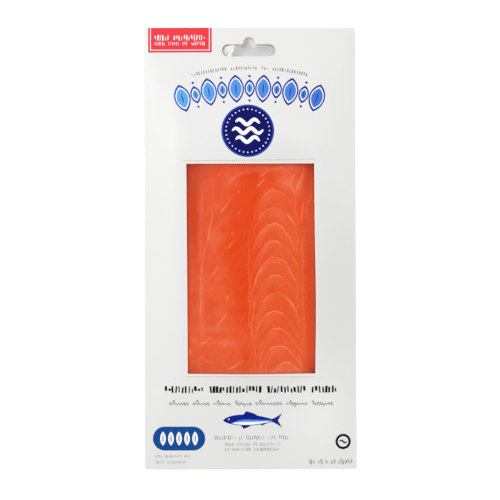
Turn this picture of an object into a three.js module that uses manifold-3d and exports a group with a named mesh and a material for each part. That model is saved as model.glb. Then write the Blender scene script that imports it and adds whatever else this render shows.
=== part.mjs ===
// Pack of smoked salmon: a flat white card sleeve, glued shut round its edges, with a window in its front and a hang
// slot punched through its head. In it lies a vacuum pouch of sliced fish, which shows in the window.
// Millimetres, +Z up, +Y towards the head of the pack. The pack lies on its back with the window up, and the origin
// is on the surface it lies on, under the middle of the sleeve.
import * as THREE from 'three';
import { mergeVertices } from 'three/addons/utils/BufferGeometryUtils.js';
import Module from 'manifold-3d';

const wasm = await Module();
wasm.setup();

// ---------------------------------------------------------------------------------------------------------------
// Driving dimensions
// ---------------------------------------------------------------------------------------------------------------

// The sleeve: two panels of card, glued together at the edges, that the fish pushes apart into a flat pillow.
const SLEEVE_WIDTH = 127;
const SLEEVE_LENGTH = 265;
const PACK_THICKNESS = 12; // over the fish
const CARD = 0.5; // thickness of one panel
const EDGE_THICKNESS = 1.8; // both panels and the glue between them, at the edge
const SIDE_DRAW = 0.4; // how far the pillow draws each side in, beside the fish
const CORNER_RADIUS = 1.2;

// The flat top of the pillow, and the round shoulder between it and the slopes.
const FLAT_HALF_WIDTH = 39;
const FLAT_HEAD = 56;
const FLAT_FOOT = -80;
const SIDE_SHOULDER = 8;
const END_SHOULDER = 10;
const HIP_SHARPNESS = 4; // the higher, the sharper the hip where a side slope meets an end slope

// The window.
const WINDOW_LEFT = -38.2;
const WINDOW_RIGHT = 38.7;
const WINDOW_FOOT = -75;
const WINDOW_HEAD = 50.4;

// The hang slot: a long hole with round ends and a round notch in the middle of its upper side.
const SLOT_CENTRE_X = -0.4;
const SLOT_FOOT = 114.7;
const SLOT_LENGTH = 32;
const SLOT_HEIGHT = 7.5;
const NOTCH_RADIUS = 3.5;
const NOTCH_HEAD = 126.5;

// The pouch: the fish fills the sleeve's flat and a little more, and the film's sealed margins lie round it.
const GAP = 0.3; // air between the pouch and the card
const FISH_FLAT_HALF_WIDTH = 38;
const FISH_HALF_WIDTH = 46.7;
const FISH_HEAD = 62.5;
const FISH_FOOT = -86.5;
const FISH_END_ROUND = 8;
const FILM_MARGIN_THICKNESS = 0.4;
const FILM_HALF_WIDTH = 58;
const FILM_HEAD = 111;
const FILM_FOOT = -112;

// The flakes: arched ones on the right of the seam that runs down the fish, slanting ones on its left.
const FLAKE_RELIEF = 0.3;
const FLAKE_SPACING = 10.3;
const FLAKE_ARCH_X = 14.9; // where the arches have their tops
const FLAKE_ARCH_HEAD = 3.6; // height of one arch's top, from which the others are spaced
const FLAKE_ARCH_CURVE = 0.07; // per mm: a parabola near the top of the arch
const FLAKE_ARCH_LEGS = 0.0002; // per mm cubed: the steeper legs
const FLAKE_SLANT = 1.1; // rise of the slanting flakes, per mm to the right
const SEAM_X = -1.5;
const SEAM_WIDTH = 3;

const MID = PACK_THICKNESS / 2;
const HALF_LENGTH = SLEEVE_LENGTH / 2;

// ---------------------------------------------------------------------------------------------------------------
// Solids
// ---------------------------------------------------------------------------------------------------------------

/** A mesh from points and triangles. */
function geometryOf(points, triangles) {
  const geometry = new THREE.BufferGeometry();
  geometry.setAttribute('position', new THREE.Float32BufferAttribute(points.flat(), 3));
  geometry.setIndex(triangles.flat());
  return geometry;
}

/** A three.js geometry as a manifold solid. */
function solidOf(geometry) {
  const bare = geometry.clone();
  bare.deleteAttribute('normal');
  bare.deleteAttribute('uv');
  const merged = mergeVertices(bare, 1e-5);
  return new wasm.Manifold(new wasm.Mesh({
    numProp: 3,
    vertProperties: new Float32Array(merged.attributes.position.array),
    triVerts: new Uint32Array(merged.index.array),
  }));
}

/** A manifold solid as a three.js geometry with flat facets. */
function geometryFrom(solid) {
  const mesh = solid.getMesh();
  const geometry = new THREE.BufferGeometry();
  geometry.setAttribute('position', new THREE.BufferAttribute(new Float32Array(mesh.vertProperties), 3));
  geometry.setIndex(new THREE.BufferAttribute(new Uint32Array(mesh.triVerts), 1));
  const facets = geometry.toNonIndexed();
  facets.computeVertexNormals();
  return facets;
}

/**
 * A closed lens about the pack's mid-plane. Each station y has a row of x stations, and the half thickness there is
 * laid off above and below the mid-plane. Every row has as many x stations as the first.
 */
function lens(ys, rowAt, halfThickness) {
  const points = [];
  for (const y of ys) {
    const row = rowAt(y);
    for (const x of row) {
      points.push([x, y, MID + halfThickness(x, y)]);
    }
    for (const x of [...row].reverse()) {
      points.push([x, y, MID - halfThickness(x, y)]);
    }
  }
  const ring = rowAt(ys[0]).length * 2;
  const last = (ys.length - 1) * ring;
  const triangles = [];
  for (let start = 0; start < last; start += ring) {
    for (let i = 0; i < ring; i += 1) {
      const next = (i + 1) % ring;
      triangles.push([start + i, start + next, start + ring + next]);
      triangles.push([start + i, start + ring + next, start + ring + i]);
    }
  }
  for (let i = 0; i < ring / 2 - 1; i += 1) {
    const j = ring - 1 - i;
    triangles.push([i, j, j - 1], [i, j - 1, i + 1]);
    triangles.push([last + i, last + j - 1, last + j], [last + i, last + i + 1, last + j - 1]);
  }
  return geometryOf(points, triangles);
}

/** Steps from start to end, both included. */
function steps(start, end, count) {
  return Array.from({ length: count + 1 }, (_, i) => start + ((end - start) * i) / count);
}

/** The same row on the left of the middle as on its right. */
function mirrored(rightHalf) {
  return [...rightHalf.map((x) => -x).reverse(), ...rightHalf];
}

// ---------------------------------------------------------------------------------------------------------------
// The form of the sleeve
// ---------------------------------------------------------------------------------------------------------------

/**
 * The share of the full height at the share u of the way from an edge to the flat: a straight slope that a parabola
 * rounds into the flat over the last share of the way.
 */
function slope(u, rounded) {
  const grade = 1 / (1 - rounded / 2);
  if (u >= 1) {
    return 1;
  }
  return u < 1 - rounded ? grade * Math.max(u, 0) : 1 - (grade * (1 - u) ** 2) / (2 * rounded);
}

/** How far the sleeve reaches to each side: drawn in beside the fish, and rounded at the corners. */
function sleeveHalfWidth(y) {
  const beyondFish = y > 0 ? (y - FLAT_HEAD) / (HALF_LENGTH - FLAT_HEAD) : (FLAT_FOOT - y) / (FLAT_FOOT + HALF_LENGTH);
  const drawn = SIDE_DRAW * (1 - THREE.MathUtils.smoothstep(beyondFish, 0, 1));
  const intoCorner = Math.max(0, CORNER_RADIUS - (HALF_LENGTH - Math.abs(y)));
  const corner = CORNER_RADIUS - Math.sqrt(CORNER_RADIUS ** 2 - intoCorner ** 2);
  return SLEEVE_WIDTH / 2 - drawn - corner;
}

/** Half the sleeve's thickness over its outside: the slopes of the sides and of the ends, joined along hips. */
function sleeveHalfThickness(x, y) {
  const halfWidth = sleeveHalfWidth(y);
  const fromSide = halfWidth - Math.abs(x);
  const fromEnd = HALF_LENGTH - Math.abs(y);
  const sideRun = halfWidth - FLAT_HALF_WIDTH;
  const endRun = HALF_LENGTH - (y > 0 ? FLAT_HEAD : -FLAT_FOOT);
  const side = slope(fromSide / sideRun, SIDE_SHOULDER / sideRun);
  const end = slope(fromEnd / endRun, END_SHOULDER / endRun);
  const lift = side > 0 && end > 0
    ? (side ** -HIP_SHARPNESS + end ** -HIP_SHARPNESS - 1) ** (-1 / HIP_SHARPNESS)
    : 0;
  const edge = EDGE_THICKNESS / 2;
  return edge + (MID - edge) * lift;
}

/** The outside of the sleeve, whose edge is rounded over by its own half thickness. */
function outerHalfThickness(x, y) {
  const edge = EDGE_THICKNESS / 2;
  const inset = Math.min(sleeveHalfWidth(y) - Math.abs(x), HALF_LENGTH - Math.abs(y));
  const short = 1 - THREE.MathUtils.clamp(inset / edge, 0, 1);
  return sleeveHalfThickness(x, y) * Math.sqrt(1 - 0.8 * short ** 2);
}

/** The rows across the sleeve: none on the flat, close together over the shoulder, wider apart on the slope. */
function sleeveRow(y, edgeInset, edgeRounds) {
  const shoulder = steps(FLAT_HALF_WIDTH, FLAT_HALF_WIDTH + SIDE_SHOULDER, 4);
  const rim = sleeveHalfWidth(y) - edgeInset;
  const slopeEnd = rim - edgeRounds[edgeRounds.length - 1];
  const down = steps(FLAT_HALF_WIDTH + SIDE_SHOULDER, slopeEnd, 4).slice(1, -1);
  return mirrored([...shoulder, ...down, ...[...edgeRounds].reverse().map((inset) => rim - inset)]);
}

/** The stations along the sleeve, spaced in the same way. */
function sleeveStations(edgeInset, edgeRounds) {
  const rim = HALF_LENGTH - edgeInset;
  const slopeEnd = rim - edgeRounds[edgeRounds.length - 1];
  const endStations = (flat, slopeSteps) => [
    ...steps(flat, flat + END_SHOULDER, 3),
    ...steps(flat + END_SHOULDER, slopeEnd, slopeSteps).slice(1, -1),
    ...[...edgeRounds].reverse().map((inset) => rim - inset),
  ];
  return [...endStations(-FLAT_FOOT, 6).map((y) => -y).reverse(), ...endStations(FLAT_HEAD, 8)];
}

/** A long hole with round ends and a round notch above its middle, drawn flat. */
function slotShape() {
  const endRadius = SLOT_HEIGHT / 2;
  const straight = SLOT_LENGTH / 2 - endRadius;
  const axis = SLOT_FOOT + endRadius;
  const head = SLOT_FOOT + SLOT_HEIGHT;
  const shape = new THREE.Shape();
  shape.absarc(SLOT_CENTRE_X - straight, axis, endRadius, Math.PI / 2, (3 * Math.PI) / 2, false);
  shape.absarc(SLOT_CENTRE_X + straight, axis, endRadius, -Math.PI / 2, Math.PI / 2, false);
  shape.lineTo(SLOT_CENTRE_X + NOTCH_RADIUS, head);
  shape.absarc(SLOT_CENTRE_X, NOTCH_HEAD - NOTCH_RADIUS, NOTCH_RADIUS, 0, Math.PI, false);
  shape.lineTo(SLOT_CENTRE_X - NOTCH_RADIUS, head);
  shape.closePath();
  return shape;
}

function cardSleeve() {
  const edge = EDGE_THICKNESS / 2;
  const outerRounds = [0, 0.12 * edge, 0.45 * edge, edge];
  const innerRounds = [0];
  const outside = solidOf(lens(
    sleeveStations(0, outerRounds),
    (y) => sleeveRow(y, 0, outerRounds),
    outerHalfThickness,
  ));
  const inside = solidOf(lens(
    sleeveStations(CARD, innerRounds),
    (y) => sleeveRow(y, CARD, innerRounds),
    (x, y) => sleeveHalfThickness(x, y) - CARD,
  ));
  const windowWidth = WINDOW_RIGHT - WINDOW_LEFT;
  const windowLength = WINDOW_HEAD - WINDOW_FOOT;
  const window = new THREE.BoxGeometry(windowWidth, windowLength, PACK_THICKNESS);
  window.translate(
    WINDOW_LEFT + windowWidth / 2,
    WINDOW_FOOT + windowLength / 2,
    PACK_THICKNESS,
  );
  const slot = new THREE.ExtrudeGeometry(slotShape(), {
    depth: PACK_THICKNESS,
    bevelEnabled: false,
    curveSegments: 12,
  });
  return outside.subtract(inside).subtract(solidOf(window)).subtract(solidOf(slot));
}

// ---------------------------------------------------------------------------------------------------------------
// The form of the pouch
// ---------------------------------------------------------------------------------------------------------------

const FISH_CENTRE_Y = (FISH_HEAD + FISH_FOOT) / 2;
const FISH_HALF_LENGTH = (FISH_HEAD - FISH_FOOT) / 2;
const FISH_TOP = MID - CARD - GAP; // above the mid-plane, at the crests of the flakes
const FISH_BED = FISH_TOP - FLAKE_RELIEF - 0.05; // above the mid-plane, under the flakes

/** Half the pouch's thickness: the flat block of fish, round at its edges, in the thin sealed margins. */
function pouchHalfThickness(x, y) {
  const side = Math.max(0, Math.abs(x) - FISH_FLAT_HALF_WIDTH) / (FISH_HALF_WIDTH - FISH_FLAT_HALF_WIDTH);
  const end = Math.max(0, Math.abs(y - FISH_CENTRE_Y) - FISH_HALF_LENGTH + FISH_END_ROUND) / FISH_END_ROUND;
  const film = FILM_MARGIN_THICKNESS / 2;
  return Math.max(film, FISH_BED * Math.sqrt(Math.max(0, 1 - side ** 2 - end ** 2)));
}

/** Height of the flakes at a point of the fish's face, from 0 in a furrow to the full relief on a crest. */
function flakeRelief(x, y) {
  const aside = x - FLAKE_ARCH_X;
  const arched = (y - FLAKE_ARCH_HEAD + FLAKE_ARCH_CURVE * aside ** 2 + FLAKE_ARCH_LEGS * aside ** 4) / FLAKE_SPACING;
  const slanting = (y - FLAKE_SLANT * x) / (FLAKE_SPACING * Math.hypot(1, FLAKE_SLANT));
  const phase = x > SEAM_X ? arched : slanting;
  const crest = 0.5 - 0.5 * Math.cos(2 * Math.PI * phase);
  const seam = 1 - Math.exp(-(((x - SEAM_X) / SEAM_WIDTH) ** 2));
  return FLAKE_RELIEF * crest * seam;
}

/** The face of the fish that shows in the window: a sheet of flakes, with a skirt that sinks into the block. */
function flakedFace() {
  const xs = steps(-40, 40, 30);
  const ys = steps(FLAT_FOOT + 2, FLAT_HEAD - 2, 50);
  const points = [];
  for (const y of ys) {
    for (const x of xs) {
      points.push([x, y, MID + FISH_TOP - FLAKE_RELIEF + flakeRelief(x, y)]);
    }
  }
  const across = xs.length;
  const triangles = [];
  for (let j = 0; j < ys.length - 1; j += 1) {
    for (let i = 0; i < across - 1; i += 1) {
      const corner = j * across + i;
      triangles.push([corner, corner + 1, corner + across + 1], [corner, corner + across + 1, corner + across]);
    }
  }
  const top = (ys.length - 1) * across;
  const rim = [
    ...xs.map((_, i) => i),
    ...ys.slice(1).map((_, j) => (j + 2) * across - 1),
    ...xs.slice(1).map((_, i) => top + across - 2 - i),
    ...ys.slice(1, -1).map((_, j) => top - (j + 1) * across),
  ];
  const skirt = points.length;
  for (const i of rim) {
    points.push([points[i][0], points[i][1], MID]);
  }
  const centre = points.length;
  points.push([0, FISH_CENTRE_Y, MID]);
  rim.forEach((upper, i) => {
    const next = (i + 1) % rim.length;
    triangles.push([upper, skirt + i, skirt + next], [upper, skirt + next, rim[next]]);
    triangles.push([centre, skirt + next, skirt + i]);
  });
  return geometryOf(points, triangles);
}

function vacuumPouch() {
  const side = FISH_HALF_WIDTH - FISH_FLAT_HALF_WIDTH;
  const roundShares = [0, 0.45, 0.75, 0.93, 1];
  const row = mirrored([
    ...roundShares.map((share) => FISH_FLAT_HALF_WIDTH + side * share),
    FILM_HALF_WIDTH,
  ]);
  const flatHalfLength = FISH_HALF_LENGTH - FISH_END_ROUND;
  const round = roundShares.map((share) => flatHalfLength + FISH_END_ROUND * share);
  const stations = [
    FILM_FOOT,
    ...[...round].reverse().map((y) => FISH_CENTRE_Y - y),
    ...round.map((y) => FISH_CENTRE_Y + y),
    FILM_HEAD,
  ];
  return solidOf(lens(stations, () => row, pouchHalfThickness)).add(solidOf(flakedFace()));
}

// ---------------------------------------------------------------------------------------------------------------
// The pack
// ---------------------------------------------------------------------------------------------------------------

function named(name, solid, material) {
  const mesh = new THREE.Mesh(geometryFrom(solid), material);
  mesh.name = name;
  return mesh;
}

const whiteCard = new THREE.MeshStandardMaterial({ color: 0xececea, roughness: 0.55, metalness: 0 });
const salmonUnderFilm = new THREE.MeshStandardMaterial({ color: 0xec6238, roughness: 0.25, metalness: 0 });

const pack = new THREE.Group();
pack.add(named('card_sleeve', cardSleeve(), whiteCard));
pack.add(named('vacuum_pouch', vacuumPouch(), salmonUnderFilm));

export default pack;
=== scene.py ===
# %% [markdown]
# # A pack of smoked salmon, lying on its back
#
# The pack is a flat sleeve of white coated card. A vacuum pouch of sliced fish lies in it and shows in a
# window, and the head of the sleeve has a slot to hang it by. Three things have to look right: white card
# that is almost flat, bright printing on it, and moist orange flesh pressed under clear film.
#
# The solid model of the pack is loaded first, as a fixed frame. Everything after it is worked out in
# millimetres from the frame's boxes and a few named sizes, and turned to Blender's metres when a mesh is
# made.

import bmesh
import bpy
import numpy as np
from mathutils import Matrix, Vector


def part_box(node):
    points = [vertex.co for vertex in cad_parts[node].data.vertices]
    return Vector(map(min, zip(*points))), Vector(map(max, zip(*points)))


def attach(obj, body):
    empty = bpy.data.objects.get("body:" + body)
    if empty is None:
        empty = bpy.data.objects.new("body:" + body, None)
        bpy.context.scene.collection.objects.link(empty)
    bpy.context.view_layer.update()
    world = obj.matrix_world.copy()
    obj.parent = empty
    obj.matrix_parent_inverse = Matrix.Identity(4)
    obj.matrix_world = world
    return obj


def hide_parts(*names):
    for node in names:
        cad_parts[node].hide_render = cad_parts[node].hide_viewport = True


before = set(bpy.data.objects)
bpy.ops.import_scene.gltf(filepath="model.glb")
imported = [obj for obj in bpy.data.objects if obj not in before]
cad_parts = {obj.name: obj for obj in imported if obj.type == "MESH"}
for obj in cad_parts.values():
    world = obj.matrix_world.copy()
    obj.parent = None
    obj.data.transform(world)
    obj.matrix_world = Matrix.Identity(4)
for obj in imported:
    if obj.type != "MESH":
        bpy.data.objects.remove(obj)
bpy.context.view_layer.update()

MM = 0.001
sleeve_low, sleeve_high = (np.array(corner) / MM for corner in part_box("card_sleeve"))
pouch_low, pouch_high = (np.array(corner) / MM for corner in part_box("vacuum_pouch"))
print("sleeve from", sleeve_low.round(1), "to", sleeve_high.round(1), "mm")
print("pouch from", pouch_low.round(1), "to", pouch_high.round(1), "mm")

# %% [markdown]
# ## The camera
#
# The pack is looked at from straight above, from about an arm's length, so its sides stay almost parallel.
# The camera is tipped by less than a degree, which brings the foot of the pack a little nearer than its
# head. The field of view is worked out from the width of the table that has to fill the picture, by similar
# triangles: focal length is to distance as sensor width is to field width.

# %% Camera
CAMERA_DISTANCE = 800.0
FIELD_WIDTH = 300.0
SENSOR_WIDTH = 36.0
CAMERA_TIP = np.radians(0.9)
CAMERA_ROLL = np.radians(-0.18)
CAMERA_AIM = np.array([-0.1, -1.35, 6.0])

scene = bpy.context.scene
camera_data = bpy.data.cameras.new("camera")
camera_data.sensor_width = SENSOR_WIDTH
camera_data.lens = SENSOR_WIDTH * CAMERA_DISTANCE / FIELD_WIDTH
camera_data.clip_end = 20
camera = bpy.data.objects.new("camera", camera_data)
towards_camera = np.array([0, -np.sin(CAMERA_TIP), np.cos(CAMERA_TIP)])
camera.location = (CAMERA_AIM + CAMERA_DISTANCE * towards_camera) * MM
camera.rotation_euler = (CAMERA_TIP, 0, CAMERA_ROLL)
scene.collection.objects.link(camera)
scene.camera = camera
print("focal length", round(camera_data.lens, 1), "mm")

# %% [markdown]
# ## Helpers for materials
#
# Colours are written as sRGB hex values, as a designer would name them, but a shader works in linear light.
# One function turns the first into the second. One more adds any node with its settings and links, so that
# each material below reads as a short list.

# %% Colour and node helpers
def linear(hex_colour):
    """An sRGB hex value as linear red, green, blue and an alpha of 1.

    A channel c is c / 12.92 below 0.04045, else ((c + 0.055) / 1.055) ** 2.4."""
    values = np.array([int(hex_colour[i:i + 2], 16) for i in (1, 3, 5)]) / 255
    curve = np.where(values < 0.04045, values / 12.92, ((values + 0.055) / 1.055) ** 2.4)
    return (*curve.tolist(), 1.0)


def node(tree, kind, settings=None, **inputs):
    """Adds a node.

    settings are its own properties, and inputs its sockets by name, or by _number, each a value or another
    node's output."""
    made = tree.nodes.new(kind)
    for name, value in (settings or {}).items():
        setattr(made, name, value)
    for name, value in inputs.items():
        socket = made.inputs[int(name[1:])] if name[0] == "_" else made.inputs[name.replace("_", " ")]
        if isinstance(value, bpy.types.NodeSocket):
            tree.links.new(value, socket)
        else:
            socket.default_value = value
    return made


def new_material(name):
    """An empty node material and its output node."""
    material = bpy.data.materials.new(name)
    material.use_nodes = True
    material.node_tree.nodes.clear()
    return material, material.node_tree, material.node_tree.nodes.new("ShaderNodeOutputMaterial")


def stops(ramp, *positions_and_colours):
    """Sets the stops of a Color Ramp node from pairs of a position and a hex colour."""
    elements = ramp.color_ramp.elements
    while len(elements) < len(positions_and_colours):
        elements.new(0.5)
    for element, (position, colour) in zip(elements, positions_and_colours):
        element.position = position
        element.color = linear(colour)
    return ramp


def soft_spot(tree, place, x, y, wide, high):
    """A soft round spot on a plan in millimetres: 1 in its middle, falling evenly to 0 at its half size."""
    about = node(tree, "ShaderNodeMapping", {"vector_type": "TEXTURE"}, Vector=place,
                 Location=(x * MM, y * MM, 0), Scale=(wide * MM, high * MM, 1))
    spot = node(tree, "ShaderNodeTexGradient", {"gradient_type": "SPHERICAL"}, Vector=about.outputs[0])
    return spot.outputs["Fac"]

# %% [markdown]
# ## Helpers for meshes
#
# Every surface here is a grid: an array of points with rows and columns. The faces follow from the numbers
# of the points alone, so they are worked out with index arithmetic for the whole grid at once. A closed
# piece is made of several grids whose borders hold the same points. Merging those doubles closes the seams.

# %% Mesh helpers
def grid_faces(rows, columns, wrap=False):
    """The quads of a grid numbered row by row: each corner, the next in its row, and the two above them.

    With wrap, the last column is joined to the first."""
    across = np.arange(columns if wrap else columns - 1)
    corner = np.arange(rows - 1)[:, None] * columns
    here = (corner + across).ravel()
    right = (corner + (across + 1) % columns).ravel()
    return np.stack([here, right, right + columns, here + columns], axis=1)


def border_ring(shape, low_row=0, high_row=-1, low_column=0, high_column=-1):
    """The numbers of a grid's points round its border, or round a rectangle of it, in order."""
    number = np.arange(shape[0] * shape[1]).reshape(shape)
    high_row, high_column = high_row % shape[0], high_column % shape[1]
    return np.concatenate([
        number[low_row, low_column:high_column], number[low_row:high_row, high_column],
        number[high_row, high_column:low_column:-1], number[high_row:low_row:-1, low_column],
    ])


def strip(ring_a, ring_b):
    """Quads that join two closed rings of as many points."""
    return np.stack([ring_a, np.roll(ring_a, -1), np.roll(ring_b, -1), ring_b], axis=1)


MERGE, DEGENERATE = 1e-6, 1e-7  # in metres


def build(name, points, quads, materials, face_materials=None, sharp_degrees=35, caps=(), fields=None):
    """A mesh object from points in millimetres and quads. Doubles are merged, and faces turned outwards.

    Caps are faces with more corners than four. Fields are numbers at the points, for a material to read."""
    mesh = bpy.data.meshes.new(name)
    mesh.from_pydata((points * MM).tolist(), [], [*quads.tolist(), *caps])
    for material in materials:
        mesh.materials.append(material)
    if face_materials is not None:
        mesh.polygons.foreach_set("material_index", face_materials.astype(np.int32))
    for field, values in (fields or {}).items():
        mesh.attributes.new(field, "FLOAT", "POINT").data.foreach_set("value", values.astype(np.float32))
    shell = bmesh.new()
    shell.from_mesh(mesh)
    bmesh.ops.remove_doubles(shell, verts=shell.verts, dist=MERGE)
    bmesh.ops.dissolve_degenerate(shell, edges=shell.edges, dist=DEGENERATE)
    bmesh.ops.recalc_face_normals(shell, faces=shell.faces)
    open_edges = sum(not edge.is_manifold for edge in shell.edges)
    shell.to_mesh(mesh)
    shell.free()
    mesh.shade_smooth()
    mesh.set_sharp_from_angle(angle=np.radians(sharp_degrees))
    made = bpy.data.objects.new(name, mesh)
    scene.collection.objects.link(made)
    print(name, "has", len(mesh.polygons), "faces and", open_edges, "open edges")
    return made


def spaced(start, end, pitch):
    """Numbers from start to end, both included, evenly spaced and at most pitch apart."""
    return np.linspace(start, end, int(np.ceil(abs(end - start) / pitch)) + 1)


def smooth(share):
    """Eases a share from 0 to 1, level at both ends: 3 s squared less 2 s cubed."""
    share = np.clip(share, 0, 1)
    return share * share * (3 - 2 * share)

# %% [markdown]
# ## The form of the sleeve
#
# On the real pack two panels of card are glued together at their edges, and the fish between them pushes
# them apart. Card can't stretch, so it comes down from the fish in straight slopes, with a round shoulder
# where it leaves the flat and a hip from each corner of the fish to a corner of the pack. This could be
# simulated as cloth, but card is stiff and the form is simple, so it is written as a formula for the height
# at any point. The print is laid on later with the same formula, and so fits without any searching.

# %% Sizes of the sleeve
MID = (sleeve_low[2] + sleeve_high[2]) / 2
HALF_THICKNESS = (sleeve_high[2] - sleeve_low[2]) / 2
HALF_LENGTH = (sleeve_high[1] - sleeve_low[1]) / 2
HALF_WIDTH = (sleeve_high[0] - sleeve_low[0]) / 2
CARD = 0.5
EDGE = 0.9  # half the thickness of the glued edge
SIDE_DRAW = 0.1
CORNER_RADIUS = 1.2
FLAT_HALF_WIDTH, FLAT_HEAD, FLAT_FOOT = 39.0, 56.0, -80.0
SIDE_SHOULDER, END_SHOULDER = 8.0, 10.0
TOE, TOE_GRADE = 4.0, 0.4  # the slope starts gently, over the glued rim
RIM_CUT = 0.92  # how far the rim is rounded, from 0 for square to 1 for a full quarter circle
HIP_SHARPNESS = 2
WINDOW_LEFT, WINDOW_RIGHT, WINDOW_FOOT, WINDOW_HEAD = -37.9, 38.4, -74.9, 50.1
SLOT_CENTRE, SLOT_FOOT, SLOT_LENGTH, SLOT_HEIGHT = -0.4, 114.7, 32.0, 7.5
NOTCH_RADIUS, NOTCH_HEAD = 3.5, 126.5

# %% Height of the card at any point
def slope(u, rounded, toe):
    """Share of the full height at the share u of the way in from an edge.

    Its grade rises evenly from the toe's to 1 over the toe, stays 1, and falls evenly to 0 over the rounded
    part. The share is that grade added up, over its total."""
    u = np.clip(u, 0, 1)
    at_toe = toe * (1 + TOE_GRADE) / 2
    at_shoulder = at_toe + 1 - rounded - toe
    past = u - (1 - rounded)
    on_toe = TOE_GRADE * u + (1 - TOE_GRADE) * u**2 / (2 * toe)
    on_slope = at_toe + u - toe
    on_shoulder = at_shoulder + past - past**2 / (2 * rounded)
    rise = np.where(u < toe, on_toe, np.where(past < 0, on_slope, on_shoulder))
    return rise / (at_shoulder + rounded / 2)


def half_width(y):
    """Half the sleeve's width: less beside the fish, where the sides are drawn in, and round at corners."""
    towards_head = (y - FLAT_HEAD) / (HALF_LENGTH - FLAT_HEAD)
    towards_foot = (FLAT_FOOT - y) / (FLAT_FOOT + HALF_LENGTH)
    drawn = SIDE_DRAW * (1 - smooth(np.maximum(towards_head, towards_foot)))
    into_corner = np.clip(CORNER_RADIUS - (HALF_LENGTH - np.abs(y)), 0, CORNER_RADIUS)
    return HALF_WIDTH - drawn - CORNER_RADIUS + np.sqrt(CORNER_RADIUS**2 - into_corner**2)


def half_thickness(x, y):
    """Half the thickness over the card, without the round of its rim.

    The side slope a and the end slope b meet along a hip: (a ** -n + b ** -n - 1) ** (-1 / n)."""
    side_run = half_width(y) - FLAT_HALF_WIDTH
    end_run = HALF_LENGTH - np.where(y > 0, FLAT_HEAD, -FLAT_FOOT)
    a = slope((half_width(y) - np.abs(x)) / side_run, SIDE_SHOULDER / side_run, TOE / side_run)
    b = slope((HALF_LENGTH - np.abs(y)) / end_run, END_SHOULDER / end_run, TOE / end_run)
    a, b = np.maximum(a, 1e-4), np.maximum(b, 1e-4)
    lift = (a**-HIP_SHARPNESS + b**-HIP_SHARPNESS - 1) ** (-1 / HIP_SHARPNESS)
    return EDGE + (HALF_THICKNESS - EDGE) * lift


def rim_round(x, y):
    """Share of the thickness that is left near the rim, which is rounded over like a quarter circle."""
    inset = np.minimum(half_width(y) - np.abs(x), HALF_LENGTH - np.abs(y))
    return np.sqrt(1 - RIM_CUT * (1 - np.clip(inset / EDGE, 0, 1)) ** 2)


WAVE_HEIGHT, WAVE_FADE = 0.05, 12.0


def card_waves(x, y):
    """The card's own unevenness: long waves of about a tenth of a millimetre, which fade out at the rim."""
    waves = np.sin(x / 9 + 1.1 * np.sin(y / 31)) * np.sin(y / 23 + 0.7) + 0.7 * np.sin(x / 17 - y / 29 + 2)
    in_from_side, in_from_end = half_width(y) - np.abs(x), HALF_LENGTH - np.abs(y)
    return -WAVE_HEIGHT * (1.7 + waves) * smooth(in_from_side / WAVE_FADE) * smooth(in_from_end / WAVE_FADE)


DIE_DEPTH, DIE_REACH = 0.12, 1.4  # how deep the die presses the window's edge down, and how far from it
LAP_SEAM, LAP_GROOVE, LAP_GROOVE_WIDTH, LAP_END = -30.0, 0.25, 0.35, 2.0


def front(x, y):
    """Height of the front of the sleeve, with the edge of the window pressed down by the cutting die."""
    beside = np.maximum.reduce([WINDOW_LEFT - x, x - WINDOW_RIGHT, WINDOW_FOOT - y, y - WINDOW_HEAD])
    pressed = DIE_DEPTH * (1 - np.clip(beside / DIE_REACH, 0, 1)) ** 2
    return MID + half_thickness(x, y) * rim_round(x, y) + card_waves(x, y) - pressed


def back(x, y):
    """Height of the back of the sleeve, with the groove beside the glued lap that runs along it."""
    groove = LAP_GROOVE * np.exp(-(((x - LAP_SEAM) / LAP_GROOVE_WIDTH) ** 2))
    groove = groove * (np.abs(y) < HALF_LENGTH - LAP_END)
    return MID - half_thickness(x, y) * rim_round(x, y) + groove


for place, y in (("window", WINDOW_HEAD + 3), ("slot", SLOT_FOOT - 5)):
    print("by the", place, "the front is", front(0.0, y).round(2), "mm high")

# %% [markdown]
# ## What the card is
#
# Such a sleeve is solid bleached board: wood fibre, pressed and coated with white clay on its outside, then
# varnished. The varnish is satin, so light spreads over it without a mirror image. Up close the clay is
# slightly uneven, with the fibres showing as a very shallow orange-peel a few tenths of a millimetre
# across. Its colour also has painted shade beside the fish on the right and close to the window's foot and
# head, and painted light at the right foot. Cut edges and the inside have no clay, so they are rougher and
# a little warmer. Round the window the bare border has a warm tint of painted light bounced from the fish.

# %% Card materials
DRIFT_MM, SATIN_SPREAD = 40, 0.06


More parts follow.
